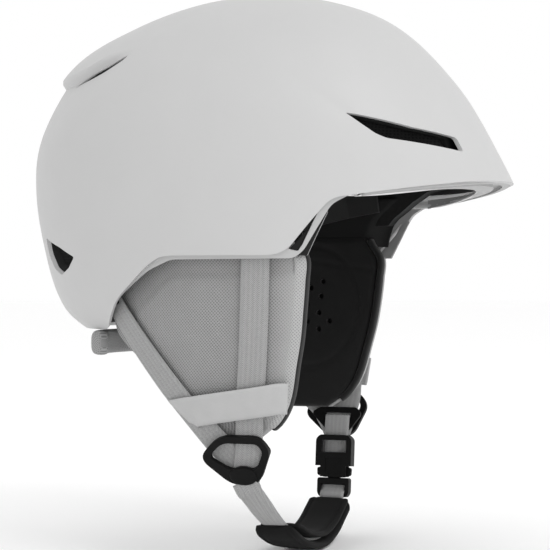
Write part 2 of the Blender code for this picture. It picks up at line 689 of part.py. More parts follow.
def on_pad(side, forward, up, lift, across):
    """Station on the ear pad's face, lifted off it, with the width direction along the face."""
    a, b = across
    here = Vector((side * (ear_face(forward, up) + lift), -forward, up))
    beside = Vector((side * (ear_face(forward + a, up + b) + lift), -forward - a, up + b))
    return here, beside - here


def web_sweep(name, stations, width, thick, kind):
    centres, acrosses = zip(*stations)
    add_part(sweep(name, centres, acrosses, flat_section(width, -thick / 2, thick / 2)), kind)


def build_harness(side):
    """Front and rear webbing of one side, from the shell's edge to the divider."""
    word = side_name(side)
    drop = EAR_BOTTOM[side] - EAR_BOTTOM[-1]
    middle = DIVIDER_AT[side][1]

    low = (middle + 5.0, -193.0 + drop)
    front = []
    for k in range(8):
        t = k / 7
        forward, up = 20.0 + t * t * (low[0] - 20.0), -98.0 + t * (low[1] + 98.0)
        front.append(on_pad(side, forward, up, FRONT_LIFT, (1, 0)))
    front += [on_divider(side, a, b, 0.6, (1, 0)) for a, b in ((4.0, 8.0), (2.0, -3.0), (0.0, -13.0))]
    web_sweep(f"front_strap_{word}", front, WEB, WEB_THICK, "web")

    top, low = (-67.5, -136.8), (middle - 21.0, -201.0 + drop)
    rear = []
    for k in range(6):
        t = k / 6
        forward, up = top[0] + t * (low[0] - top[0]), top[1] + t * (low[1] - top[1])
        rear.append(on_pad(side, forward, up, REAR_LIFT, (0.75, 0.66)))
    ends = ((-13.5, 5.5, (0.8, 0.6)), (-6.0, -4.0, (0.9, 0.4)), (-1.0, -13.0, (1.0, 0.1)))
    rear += [on_divider(side, a, b, -1.2, across) for a, b, across in ends]
    web_sweep(f"rear_strap_{word}", rear, WEB, WEB_THICK, "web")


def build_anchors(side):
    """What fastens the webbing's upper ends inside the shell's edge: a plate and a rivet."""
    word = side_name(side)
    low, high = (side * 91.8, -28.0, -96.8), (side * 94.6, -12.0, -90.6)
    add_part(box(f"strap_anchor_front_{word}", low, high, None, 0.6), "clip")
    forward, up = -66.0, -134.5
    face = ear_face(forward, up)
    rivet = rod(f"strap_anchor_rear_{word}", (side * (face + REAR_LIFT + 2.1), -forward, up),
                (side * (face + REAR_LIFT + 2.7), -forward, up), 1.5, 16)
    add_part(rivet, "clip")


def build_pad_band(side):
    """Flat keeper band over both straps, wrapped round the pad's front edge."""
    drop = (EAR_BOTTOM[side] - EAR_BOTTOM[-1]) * 0.8
    outer = [(-31.5, -194.4), (-24.0, -192.9), (-14.0, -191.0), (-4.0, -189.3), (12.0, -186.8),
             (22.0, -185.2)]
    turn = [(28.5, 4.9), (33.2, 4.2)]
    route = [(a, b, BAND_LIFT) for a, b in outer] + [(a, -184.0, lift) for a, lift in turn]
    stations = [on_pad(side, forward, up + drop, lift, (0, 1)) for forward, up, lift in route]
    web_sweep(f"pad_band_{side_name(side)}", stations, 17.0, 1.0, "patch")


def build_divider(side):
    word = side_name(side)
    frame = local_frame(DIVIDER_AT[side], DIVIDER_LEAN, side)
    clamp = slab(f"divider_clamp_{word}", [rounded(CLAMP_OUTLINE, 7.0), rounded(CLAMP_WINDOW, 4.0)],
                 *CLAMP_LAYER, frame)
    add_part(clamp, "clip")
    cap = [(7.7 * math.cos(a), -9.8 + 5.2 * math.sin(a)) for a in (2 * math.pi * k / 20 for k in range(20))]
    boolean(clamp, add_cutter(slab(clamp.name + "_thumb_pad", [cap], CLAMP_LAYER[0] + 0.5,
                                   CLAMP_LAYER[1] + 1.1, frame)), "UNION")
    top = PLATE_OUTLINE if side < 0 else [(a, b - 4.2 if b > 0 else b) for a, b in PLATE_OUTLINE]
    slot = [(-7.9, -4.5), (7.9, -4.5), (7.9, -1.5), (-7.9, -1.5)]
    plate = slab(f"divider_plate_{word}", [rounded(top, 4.0), slot], *PLATE_LAYER, frame)
    add_part(plate, "clip")


# -------------------------------------------------------------------------- chin straps and pads
def route_point(t):
    """Point along the chin route, t from 0 at the right divider to 1 at the buckle."""
    last = len(CHIN_ROUTE) - 1
    return Vector([through([(k / last, p[axis]) for k, p in enumerate(CHIN_ROUTE)], t) for axis in range(3)])


def chin_sweep(name, start, end, count, section, kind):
    points = [route_point(start + (end - start) * k / (count - 1)) for k in range(count)]
    centres = [(p.x, -p.y, p.z) for p in points]
    return add_part(sweep(name, centres, [(0, -1, 0)] * count, section), kind)


def build_chin_straps():
    half = WEB_THICK / 2
    chin_sweep("chin_strap_long", 0.0, 1.0, 24, flat_section(WEB, -half, half), "web")
    chin_sweep("chin_pad_outer", *OUTER_CHIN_PAD, 16,
               pillow_section(CHIN_PAD_WIDTH, -half - GAP - CHIN_PAD_THICK, -half - GAP), "liner")
    chin_sweep("chin_pad_inner", *INNER_CHIN_PAD, 14,
               pillow_section(CHIN_PAD_WIDTH, half + GAP, half + GAP + CHIN_PAD_THICK), "liner")
    x, forward, up = LEFT_PIVOT
    frame = local_frame(BUCKLE_AT, BUCKLE_LEAN)
    at_bar = [frame @ (Vector((0, u, 1.3)) * MM) / MM for u in (19.0, 10.2)]
    short = [Vector((x - 0.3, -forward, up - 1.0)), Vector((x - 1.8, -forward, up - 6.0)), *at_bar]
    add_part(sweep("chin_strap_short", short, [(0, -1, 0)] * 4, flat_section(WEB, -half, half)), "web")


# ---------------------------------------------------------------------------------------- buckle
def build_socket(frame):
    half, thick = SOCKET_HALF
    low, high = SOCKET_SPAN
    socket = add_part(box("buckle_socket", (-half, low, -thick), (half, high, thick), frame, 1.0), "clip")
    cuts = {
        "strap_window": ((-7.8, 9.5, -9), (7.8, 16.8, 9)),
        "strap_channel": ((-7.8, 15.0, 0.2), (7.8, 25.0, 9)),
        "plug_cavity": ((-8.5, low - 1, -2.5), (8.5, 7.4, 2.5)),
        "front_side_opening": ((7.9, low - 1, -9), (half + 1, 1.5, 9)),
        "rear_side_opening": ((-half - 1, low - 1, -9), (-7.9, 1.5, 9)),
    }
    for name, (a, b) in cuts.items():
        boolean(socket, add_cutter(box(name, a, b, frame)))


def build_plug(frame):
    low, high = PLUG_SPAN
    plug = add_part(box("buckle_plug", (-9.8, low, -3.2), (9.8, high, 3.2), frame, 0.9), "clip")
    boolean(plug, add_cutter(box("plug_window", (-7.4, low + 3.2, -9), (7.4, high - 4.0, 9), frame)))
    boolean(plug, add_cutter(box("plug_tongue", (-1.8, high - 2.0, -1.3), (1.8, 6.0, 1.3), frame)), "UNION")
    for word, side in (("front", 1), ("rear", -1)):
        arm = [(3.7, high + GAP), (6.4, high + GAP), (10.4, -4.0), (10.6, 0.2), (7.5, 1.2),
               (6.2, 5.6), (4.0, 6.0)]
        outline = rounded([(side * a, b) for a, b in arm], 0.9, 2)
        add_part(slab(f"buckle_prong_{word}", [outline], -1.3, 1.3, frame), "clip")


def build_buckle():
    frame = local_frame(BUCKLE_AT, BUCKLE_LEAN)
    build_socket(frame)
    build_plug(frame)


# ---------------------------------------------------------------------------------------- pivots
def hang(pivot, frame, names):
    """Parent moving pieces to an empty that sits on their joint's axis."""
    empty = bpy.data.objects.new(pivot, None)
    helmet.objects.link(empty)
    empty.matrix_world = frame
    for name in names:
        piece = bpy.data.objects[name]
        piece.parent = empty
        piece.matrix_parent_inverse = frame.inverted()


def at_point(x, forward, up):
    return Matrix.Translation(Vector((x, -forward, up)) * MM)


def build_pivots():
    hang("fit_dial_pivot", at_point(0, -DIAL_Y[0], DIAL_Z), ["fit_dial", "dial_pinion"])
    hang("rack_left_guide", at_point(HOUSING_HALF_X, -RACK_Y[0], DIAL_Z), ["rack_tail_left"])
    hang("rack_right_guide", at_point(-HOUSING_HALF_X, -RACK_Y[0], DIAL_Z), ["rack_tail_right"])
    hang("chin_loop_pivot", at_point(*LEFT_PIVOT), ["chin_strap_short", "buckle_socket"])
    hang("chin_strap_pivot", at_point(*RIGHT_PIVOT),
         ["chin_strap_long", "chin_pad_outer", "chin_pad_inner", "buckle_plug"])
    buckle = local_frame(BUCKLE_AT, BUCKLE_LEAN)
    for word, side in (("front", 1), ("rear", -1)):
        root = buckle @ Vector((side * PRONG_ROOT, PLUG_SPAN[1] * MM, 0))
        hang(f"buckle_prong_{word}_pivot", Matrix.Translation(root), [f"buckle_prong_{word}"])
    for side in (-1, 1):
        bar = local_frame(DIVIDER_AT[side], DIVIDER_LEAN, side) @ (Vector(CLAMP_HINGE) * MM)
        hang(f"divider_clamp_{side_name(side)}_pivot", Matrix.Translation(bar),
             [f"divider_clamp_{side_name(side)}"])


# ------------------------------------------------------------------------------------------ build
for old in list(bpy.data.objects):
    bpy.data.objects.remove(old)
helmet = bpy.data.collections.new("ski_helmet")
cutters = bpy.data.collections.new("cutters")
bpy.context.scene.collection.children.link(helmet)
bpy.context.scene.collection.children.link(cutters)

vent_cutters = [vent_pieces(label, outline, side) for side in (-1, 1)
                for label, outline in (("brow_vent_screen", BROW_VENT),
                                       ("exhaust_screen", EXHAUST_SLOT),
                                       ("rear_vent_screen", REAR_VENT))]
build_shell(vent_cutters)
build_foam(vent_cutters)
build_brim()
build_pads()
build_dial()
build_racks()
build_housing()
build_neck_pad()
build_ear_pads()
build_chin_straps()
build_buckle()
for side in (-1, 1):
    build_edge_trim(side)
    build_fit_band(side)
    build_harness(side)
    build_anchors(side)
    build_pad_band(side)
    build_divider(side)
build_pivots()
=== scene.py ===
"""Ski helmet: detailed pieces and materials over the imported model.

Lengths inside the functions are millimetres. The origin is the crown of the wearer's head, -Y is
forward, +X is the wearer's left, +Z is up. "forward" is -Y; side is -1 for the wearer's right.
"""
import json
from math import acos, atan2, copysign, cos, degrees, exp, hypot, pi, radians, sin, sqrt

import bmesh
import bpy
from mathutils import Matrix, Vector

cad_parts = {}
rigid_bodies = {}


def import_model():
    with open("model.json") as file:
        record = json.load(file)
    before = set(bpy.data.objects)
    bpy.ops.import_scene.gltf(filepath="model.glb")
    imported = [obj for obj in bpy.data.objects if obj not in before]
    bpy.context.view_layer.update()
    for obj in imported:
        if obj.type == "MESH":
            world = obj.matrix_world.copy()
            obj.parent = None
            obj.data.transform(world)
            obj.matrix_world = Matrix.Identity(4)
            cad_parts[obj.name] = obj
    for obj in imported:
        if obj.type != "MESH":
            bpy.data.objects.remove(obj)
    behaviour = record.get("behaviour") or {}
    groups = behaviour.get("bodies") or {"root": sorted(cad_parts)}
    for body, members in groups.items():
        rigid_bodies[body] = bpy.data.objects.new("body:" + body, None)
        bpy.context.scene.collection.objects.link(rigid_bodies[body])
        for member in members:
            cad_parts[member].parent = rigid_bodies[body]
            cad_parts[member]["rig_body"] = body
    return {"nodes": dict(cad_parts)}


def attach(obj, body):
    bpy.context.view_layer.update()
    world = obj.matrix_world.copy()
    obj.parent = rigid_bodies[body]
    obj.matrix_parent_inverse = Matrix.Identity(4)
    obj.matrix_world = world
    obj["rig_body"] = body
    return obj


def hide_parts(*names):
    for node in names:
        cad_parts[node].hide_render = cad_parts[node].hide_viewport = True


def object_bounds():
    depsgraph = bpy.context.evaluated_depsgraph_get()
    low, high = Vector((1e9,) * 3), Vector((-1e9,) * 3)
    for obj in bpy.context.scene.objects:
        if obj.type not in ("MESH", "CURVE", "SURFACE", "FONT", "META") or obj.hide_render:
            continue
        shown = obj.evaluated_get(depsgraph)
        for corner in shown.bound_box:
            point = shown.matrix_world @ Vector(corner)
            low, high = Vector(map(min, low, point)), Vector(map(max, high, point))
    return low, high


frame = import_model()
cad_low, cad_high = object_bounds()

MM = 0.001
GAP = 0.3

# ---- the same dome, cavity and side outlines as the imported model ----
CENTRE_Z = -60
SECTION_POWER = 2.05
CROWN_R = 95.5
FRONT_PROFILE = [(0, CROWN_R), (20, 98), (40, 104.5), (60, 110), (75, 117.5), (84, 123),
                 (92, 124), (101, 120), (115, 115), (135, 112)]
FLARE_START, FLARE_RATE, FLARE_END = 80, 0.06, 101
SIDE_PROFILE = [(0, CROWN_R), (25, 98.5), (50, 103), (75, 105.5), (90, 106), (100, 107.7),
                (115, 113.5), (130, 122), (140, 126)]
REAR_PROFILE = [(0, CROWN_R), (25, 101), (45, 112.3), (65, 132), (80, 138), (95, 140),
                (108, 141.5), (123, 145.6), (130, 141.5), (140, 132)]
LIP_START = 124
LIP_EDGE = [(124, 57), (132.6, 59), (139.4, 61.8), (146, 66), (152, 68), (180, 68.6)]
SCOOP_DEPTH = 4.5
SCOOP_FADE = 22
SHELL_WALL = 2.2
FOAM_OFFSET = SHELL_WALL + GAP
RIM = [(150, -68), (134, -69), (115, -72.3), (60, -81), (50.8, -91.6), (43.6, -100.2), (39, -105.8),
       (34, -109), (28, -110), (-24, -110), (-31, -110.8), (-39.5, -115.6), (-49.5, -123.9),
       (-61, -133), (-74.4, -149.2), (-80, -150.5), (-160, -150.5)]
FOAM_RIM = [(150, -60), (74, -71), (63.5, -76.5), (50, -86), (46, -90.2), (-40, -90), (-62, -110),
            (-82, -138), (-95, -143), (-160, -143)]
TRIM_TOP = [(69.6, -73.3), (63.5, -76.5), (50, -86), (46, -90.2), (-40, -90), (-62, -110), (-82, -138),
            (-95, -143), (-98, -143)]
TRIM_BOTTOM = [(69.6, -78.5), (59.5, -84), (45, -107.5), (40, -111.5), (-25, -112), (-40, -118),
               (-60, -131.5), (-76, -145), (-98, -148.5)]
TRIM_WALL = 2
TRIM_START_X = 46
# open corner of the trim at the temple, with a floor that closes it
TRIM_GAP = [(53, -88), (37.5, -106.8), (42.2, -108), (44.6, -104.6)]
GAP_FLOOR = [(56, -87), (57, -88), (35, -110), (46, -110)]
SKIRT_TOP, SKIRT_BOTTOM = -74, -103
# the lining's front edge inside the temple: depth below the origin against forward
TEMPLE_LINE = [(74, 66), (77, 62.5), (86, 49.5), (94, 45.2), (103, 43.4)]
BROW_VENT = [(52.8, 78.3), (49.2, 81.2), (45.4, 84), (42.5, 85.2), (20, 88), (20.9, 84.5),
             (34.4, 82.3)]
EXHAUST_SLOT = [(149.5, 69.2), (142, 66.4), (135.8, 63.5), (129.4, 60.6), (128, 58.6),
                (134.4, 60.6), (141.6, 64)]
REAR_VENT = [(154.8, 107), (145.8, 110.1), (139.1, 113.1), (143.1, 115.3), (148.5, 116.4),
             (152.6, 114.6), (155.2, 110.9)]
VENT_DEPTH = 13
# screens as (depth, size against the vent's outline)
DEEP_SCREEN = [(5.5, 0.78), (6.75, 0.87), (8, 0.89), (9.25, 0.87), (10.5, 0.78)]
SHALLOW_SCREEN = [(0.7, 0.94), (2.525, 0.97), (4.35, 0.97), (6.175, 0.94), (8, 0.86)]
VENTS = (("brow_vent_screen", BROW_VENT, DEEP_SCREEN), ("exhaust_screen", EXHAUST_SLOT, SHALLOW_SCREEN),
         ("rear_vent_screen", REAR_VENT, DEEP_SCREEN))
CREASE = ((52.8, 78.3), (74, 62))  # a soft fold that runs back and up from the brow vent
CAVITY_FRONT = [(0, 68.5), (45, 84), (90, 105), (120, 107), (140, 107)]
CAVITY_SIDE = [(0, 68.5), (45, 74), (90, 85), (120, 98), (140, 98)]
CAVITY_REAR = [(0, 68.5), (45, 87), (90, 112), (120, 131), (140, 131)]
CROWN_GAP, CROWN_PAD, PAD_GAP = 0.7, 7.8, 1.6

# ---- ear pads, webbing, dividers, chin loop and buckle, as packed ----
EAR_TOP = -97
EAR_BOTTOM = {-1: -206, 1: -199.5}
EAR_FRONT_EDGE = [(0, 35), (0.13, 42.4), (0.24, 42), (0.38, 40.5), (0.51, 38.6), (0.64, 35.6),
                  (0.81, 31.2), (0.92, 24.5), (1, 14)]
EAR_REAR_EDGE = [(0, -30), (0.09, -48), (0.24, -62), (0.39, -71), (0.5, -71), (0.66, -51),
                 (0.95, -24), (1, -14)]
EAR_FACE = [(-225, 65), (-206, 72), (-180, 81.5), (-140, 90.5), (-110, 93.3), (-95, 93.5)]
EAR_BEND = (0.0045, 0.0052)
EAR_THICK, LINING_THICK = 8, 5.5
WEB, WEB_THICK = 15, 1.4
FRONT_LIFT, REAR_LIFT, BAND_LIFT = 1.8, 2.5, 5
DIVIDER_LEAN = 20
DIVIDER_AT = {-1: (73, 6.5, -215), 1: (75.5, 17.2, -203)}
CLAMP_OUTLINE = [(-24, 0), (-11.5, 12.8), (11, 12.8), (16.5, 5), (8.5, -14.5), (-6.5, -15.5)]
CLAMP_WINDOW = [(-18.5, 0.5), (-10, 9), (9.5, 9), (12.3, 4.5), (7.5, -6), (-7.5, -6.5)]
PLATE_OUTLINE = [(-17, -2), (-12, 6), (11.5, 6), (14.5, 2), (7.5, -13), (-5.5, -13.5)]
CLAMP_LAYER, PLATE_LAYER = (1.6, 4.4), (-4, -2.2)
LEFT_PIVOT = (69, 17.5, -203.5)
CHIN_ROUTE = [(-71.6, 9, -233.4), (-67.6, 13.2, -241), (-57.5, 17.4, -251.5), (-31, 18.6, -263),
              (0, 18.6, -268.3), (25, 17.9, -265.6), (43.6, 17.4, -259.2), (55.8, 17.5, -253.6)]
OUTER_CHIN_PAD, INNER_CHIN_PAD = (0.30, 0.99), (0.335, 0.97)
CHIN_PAD_WIDTH, CHIN_PAD_THICK = 24, 3.6
BUCKLE_AT, BUCKLE_LEAN = (61.8, 17.5, -236), 6.4
SOCKET_HALF, SOCKET_SPAN, PLUG_SPAN = (11, 4), (-5, 20), (-17, -5.6)
DIAL_Z, DIAL_R = -133, 13


# ---- curves and the dome surface ----
def through(knots, t):
    """Smooth curve through (t, value) knots, flat beyond both ends."""
    t = min(max(t, knots[0][0]), knots[-1][0])
    last = len(knots) - 1
    i = next((k for k in range(last) if t <= knots[k + 1][0]), last - 1)

    def slope(k):
        a, b = knots[max(k - 1, 0)], knots[min(k + 1, last)]
        return (b[1] - a[1]) / (b[0] - a[0])

    (t0, y0), (t1, y1) = knots[i], knots[i + 1]
    h = t1 - t0
    s = (t - t0) / h
    m0 = 0 if i == 0 else slope(i) * h
    m1 = slope(i + 1) * h
    return ((2 * s**3 - 3 * s**2 + 1) * y0 + (s**3 - 2 * s**2 + s) * m0
            + (3 * s**2 - 2 * s**3) * y1 + (s**3 - s**2) * m1)


def ease(t):
    t = min(max(t, 0), 1)
    return t * t * (3 - 2 * t)


def to_segment(p, a, b):
    """Distance from a point to a segment, and how far along it, both flat."""
    p, a, b = Vector(p), Vector(a), Vector(b)
    along = min(max((p - a).dot(b - a) / (b - a).length_squared, 0), 1)
    return (p - a - (b - a) * along).length, along


def oval(front, side, rear, tau):
    c, s = cos(tau), abs(sin(tau))
    along = front if c > 0 else rear
    return ((abs(c) / along) ** SECTION_POWER + (s / side) ** SECTION_POWER) ** (-1 / SECTION_POWER)


def scoop(tau, psi):
    """Depth of the hollow under the raised rear lip."""
    round_deg = abs(degrees(tau))
    below = psi - through(LIP_EDGE, round_deg)
    return (SCOOP_DEPTH * ease((round_deg - LIP_START) / 16) * ease(below / 1.4 + 0.5)
            * (1 - ease(below / SCOOP_FADE)))


def crease(tau, psi):
    """Depth of the soft fold behind the brow vent, fading at its far end."""
    gap, along = to_segment((abs(degrees(tau)), psi), *CREASE)
    return 0.55 * exp(-(gap / 1.7) ** 2) * (1 - ease(along))


def dome_radius(tau, psi, offset=0):
    flare = FLARE_RATE * (min(max(psi, FLARE_START), FLARE_END) - FLARE_START) ** 2
    flare *= max(cos(tau), 0) ** 3
    front = through(FRONT_PROFILE, psi) + flare
    r = oval(front, through(SIDE_PROFILE, psi), through(REAR_PROFILE, psi), tau)
    return r - scoop(tau, psi) - crease(tau, psi) - offset


def foam_radius(tau, psi, offset=0):
    r = oval(*(through(profile, psi) for profile in (FRONT_PROFILE, SIDE_PROFILE, REAR_PROFILE)), tau)
    brow = 4.5 * ease((psi - 74) / 16) * max(cos(tau), 0) ** 2
    return r - scoop(tau, psi) - brow - offset


def cavity_radius(tau, psi, offset=0):
    return oval(*(through(profile, psi) for profile in (CAVITY_FRONT, CAVITY_SIDE, CAVITY_REAR)),
                tau) - offset


def halving(low, high, short):
    """Last place in a range where short(place) holds."""
    for _ in range(24):
        middle = (low + high) / 2
        if short(middle):
            low = middle
        else:
            high = middle
    return low


def surface_x(radius, forward, up, offset):
    """Half width of a dome surface at a place."""
    def within(x):
        reach = sqrt(x * x + forward * forward + (up - CENTRE_Z) ** 2)
        psi = degrees(acos((up - CENTRE_Z) / reach))
        return reach < radius(atan2(x, forward), psi, offset)

    return halving(30, 130, within)


def turned(tau, reach, up):
    """Point at a distance out from the upright axis."""
    return Vector((reach * sin(tau), -reach * cos(tau), up))


def polar(tau, psi, r):
    return turned(tau, r * sin(radians(psi)), CENTRE_Z + r * cos(radians(psi)))


def local_frame(at, lean, side=1):
    """Columns: forward, up leaning outward, outward. at is (x from the middle, forward, up)."""
    s, c = sin(radians(lean)), cos(radians(lean))
    columns = Vector((0, -1, 0)), Vector((side * s, 0, c)), Vector((side * c, 0, -s))
    made = Matrix.Identity(4)
    for i, axis in enumerate(columns):
        for row in range(3):
            made[row][i] = axis[row]
    made.translation = Vector((side * at[0], -at[1], at[2])) * MM
    return made


def side_name(side):
    return "left" if side > 0 else "right"


# ---- materials ----
def add(tree, kind, inputs=None, **settings):
    """New node; inputs are values or the sockets to take them from."""
    node = tree.nodes.new(kind)
    for key, value in settings.items():
        setattr(node, key, value)
    for key, value in (inputs or {}).items():
        if isinstance(value, bpy.types.NodeSocket):
            tree.links.new(value, node.inputs[key])
        else:
            node.inputs[key].default_value = value
    return node


def calc(tree, operation, a, b=0, c=0):
    return add(tree, "ShaderNodeMath", {0: a, 1: b, 2: c}, operation=operation).outputs[0]


def blended(tree, a, share, b, other):
    """a * share + b * other."""
    return calc(tree, "MULTIPLY_ADD", a, share, calc(tree, "MULTIPLY", b, other))


def ranged(tree, value, low, high):
    return add(tree, "ShaderNodeMapRange", {"Value": value, "To Min": low, "To Max": high}).outputs[0]


def shades(tree, factor, dark, light):
    """Neutral grey between two tones."""
    mix = add(tree, "ShaderNodeMix", {"Factor": factor}, data_type="RGBA")
    mix.inputs["A"].default_value = (dark, dark, dark, 1)
    mix.inputs["B"].default_value = (light, light, light, 1)
    return mix.outputs["Result"]


def own_place(tree):
    """The object's own space, in metres."""
    return add(tree, "ShaderNodeTexCoord").outputs["Object"]


def noise(tree, scale, detail=3, stretch=None):
    """Noise with the scale in turns per metre."""
    place = own_place(tree)
    if stretch:
        place = add(tree, "ShaderNodeVectorMath", {0: place, 1: stretch}, operation="MULTIPLY").outputs[0]
    return add(tree, "ShaderNodeTexNoise", {"Vector": place, "Scale": scale, "Detail": detail}).outputs[0]


def woven_place(tree):
    """Across and along the cloth, in mm."""
    place = add(tree, "ShaderNodeUVMap", uv_map="cloth").outputs[0]
    split = add(tree, "ShaderNodeSeparateXYZ", {0: place})
    return split.outputs[0], split.outputs[1]


def wave(tree, value, pitch):
    """0 to 1 and back once in each pitch."""
    turned = calc(tree, "MULTIPLY", value, 2 * pi / pitch)
    return calc(tree, "MULTIPLY_ADD", calc(tree, "SINE", turned), 0.5, 0.5)


def new_material(name, roughness, metallic=0, sheen=0, specular=0.5):
    mat = bpy.data.materials.new(name)
    mat.use_nodes = True
    shader = mat.node_tree.nodes["Principled BSDF"]
    shader.inputs["Roughness"].default_value = roughness
    shader.inputs["Metallic"].default_value = metallic
    shader.inputs["Sheen Weight"].default_value = sheen
    shader.inputs["Specular IOR Level"].default_value = specular
    return mat, mat.node_tree, shader


def finish_material(tree, shader, colour, height, depth_mm, strength=0.6, roughness=None):
    tree.links.new(colour, shader.inputs["Base Color"])
    bump = add(tree, "ShaderNodeBump", {"Height": height, "Distance": depth_mm * MM,
                                        "Strength": strength})
    tree.links.new(bump.outputs[0], shader.inputs["Normal"])
    if roughness is not None:
        tree.links.new(roughness, shader.inputs["Roughness"])


def moulded(name, dark, light, rough, grain_mm=0.35, depth_mm=0.03, specular=0.5):
    """Moulded plastic: fine grain, faint cloudy colour and uneven gloss."""
    mat, tree, shader = new_material(name, rough[0], specular=specular)
    cloud = noise(tree, 40)
    fine = noise(tree, 1000 / grain_mm, 2)
    gloss = ranged(tree, noise(tree, 140), *rough)
    finish_material(tree, shader, shades(tree, cloud, dark, light), fine, depth_mm, 0.5, gloss)
    return mat


def foam_material():
    mat, tree, shader = new_material("expanded_foam", 0.9)
    beads = add(tree, "ShaderNodeTexVoronoi", {"Vector": own_place(tree), "Scale": 330}).outputs["Distance"]
    finish_material(tree, shader, shades(tree, beads, 0.010, 0.005),
                    calc(tree, "SUBTRACT", 1, beads), 0.25)
    return mat


def screen_material():
    mat, tree, shader = new_material("vent_screen", 0.95, specular=0.1)
    split = add(tree, "ShaderNodeSeparateXYZ", {0: own_place(tree)})
    across, upward = (wave(tree, split.outputs[axis], 1.6 * MM) for axis in (1, 2))
    holes = calc(tree, "MULTIPLY", across, upward)
    finish_material(tree, shader, shades(tree, holes, 0.010, 0.003), holes, -0.3)
    return mat


def brushed_fabric(name, dark, light, sheen):
    """Short-pile knit: fine fuzz over a faint rib."""
    mat, tree, shader = new_material(name, 0.95, sheen=sheen, specular=0.25)
    fuzz = noise(tree, 2600, 4)
    both = blended(tree, fuzz, 0.7, noise(tree, 70), 0.3)
    finish_material(tree, shader, shades(tree, both, dark, light), fuzz, 0.10, 0.8)
    return mat


def diamond_mesh(name, dark, light, pitch=1.25, edge=None):
    """Knitted mesh with small diamond openings; given an edge width, painted light makes it paler towards
    the edge where u is 0.
    """
    mat, tree, shader = new_material(name, 0.92, sheen=0.15, specular=0.25)
    across, along = woven_place(tree)
    rising = calc(tree, "ADD", across, along)
    falling = calc(tree, "SUBTRACT", across, along)
    product = calc(tree, "MULTIPLY", wave(tree, rising, pitch * 1.414), wave(tree, falling, pitch * 1.414))
    holes = calc(tree, "POWER", product, 0.7)
    cloud = calc(tree, "MULTIPLY", noise(tree, 90), 0.25)
    tone = calc(tree, "SUBTRACT", calc(tree, "ADD", calc(tree, "SUBTRACT", 1, holes), cloud), 0.12)
    colour = shades(tree, tone, dark, light)
    if edge:
        # painted light: the mesh grows paler over the last edge mm before the pad's rounded front edge
        near = calc(tree, "SUBTRACT", 1, calc(tree, "DIVIDE", across, edge))
        pale = calc(tree, "POWER", calc(tree, "MAXIMUM", near, 0), 1.3)
        mix = add(tree, "ShaderNodeMix", {"Factor": pale}, data_type="RGBA")
        tree.links.new(colour, mix.inputs["A"])
        mix.inputs["B"].default_value = (EAR_EDGE_LIGHT_TONE, EAR_EDGE_LIGHT_TONE, EAR_EDGE_LIGHT_TONE, 1)
        colour = mix.outputs["Result"]
    finish_material(tree, shader, colour, holes, -0.22, 0.8)
    return mat


def chevron_web(name, dark, light, column=2.5, pitch=1.05):
    """Flat webbing: narrow columns of slanting picks that turn back on each other."""
    mat, tree, shader = new_material(name, 0.85, sheen=0.2, specular=0.3)
    across, along = woven_place(tree)
    zigzag = calc(tree, "PINGPONG", across, column)
    picks = wave(tree, calc(tree, "MULTIPLY_ADD", zigzag, 1.1, along), pitch)
    columns = wave(tree, across, column)
    height = blended(tree, columns, 0.15, picks, 0.85)
    # colour follows the weave's height as well as fine fuzz: painted shade in the dips between picks and
    # columns
    fuzz = blended(tree, noise(tree, 800), 0.3, height, 0.8)
    finish_material(tree, shader, shades(tree, fuzz, dark, light), height, 0.22, 0.9)
    return mat


def ribbed_tape(name, dark, light, pitch, depth_mm):
    """Close ribs across the tape, with a thread of shade between them."""
    mat, tree, shader = new_material(name, 0.88, sheen=0.25, specular=0.3)
    across, along = woven_place(tree)
    height = blended(tree, wave(tree, along, pitch), 0.7, wave(tree, across, pitch * 1.3), 0.3)
    tone = blended(tree, noise(tree, 120), 0.5, height, 0.5)
    finish_material(tree, shader, shades(tree, tone, dark, light), height, depth_mm, 0.7)
    return mat


def steel_material():
    mat, tree, shader = new_material("stud_steel", 0.3, metallic=1)
    brushed = noise(tree, 900, 2, (0.1, 1, 1))
    finish_material(tree, shader, shades(tree, brushed, 0.38, 0.62), brushed, 0.02, 0.5,
                    ranged(tree, brushed, 0.25, 0.45))
    return mat


# tone of the painted light along the ear pad's rounded front edge
EAR_EDGE_LIGHT_TONE = 0.40
MATERIALS = {
    "shell": (moulded("shell_satin", 0.495, 0.515, (0.42, 0.55)), "shell_plastic"),
    "trim": (moulded("trim_moulding", 0.42, 0.46, (0.55, 0.7)), "trim_plastic"),
    # brim wall: the trim's plastic painted far paler, as painted light for the brim's shaded inside
    "wall": (moulded("brim_moulding_painted_light", 0.80, 0.84, (0.55, 0.7)), "trim_plastic"),
    "foam": (foam_material(), "liner_foam"),
    "screen": (screen_material(), "vent_mesh"),
    "liner": (brushed_fabric("brushed_lining", 0.007, 0.016, 0.12), "padding_fabric"),
    "chin": (brushed_fabric("chin_cloth", 0.003, 0.008, 0), "padding_fabric"),
    "mesh": (diamond_mesh("nape_mesh", 0.15, 0.34), "mesh_fabric"),
    # ear covers: painted light over the 13 mm nearest the pad's front edge
    "ear": (diamond_mesh("ear_mesh", 0.15, 0.34, edge=13), "mesh_fabric"),
    "edge": (diamond_mesh("edge_mesh", 0.25, 0.45), "binding_tape"),
    "patch": (ribbed_tape("keeper_band", 0.40, 0.50, 0.55, 0.04), "band_fabric"),
    "web": (chevron_web("webbing", 0.17, 0.47), "webbing"),
    "steel": (steel_material(), "snap_steel"),
    "clip": (moulded("buckle_moulding", 0.003, 0.006, (0.42, 0.58), 0.4, 0.04, 0.12),
             "buckle_plastic"),
    "fit": (moulded("fit_moulding", 0.02, 0.03, (0.5, 0.65)), "fit_plastic"),
}


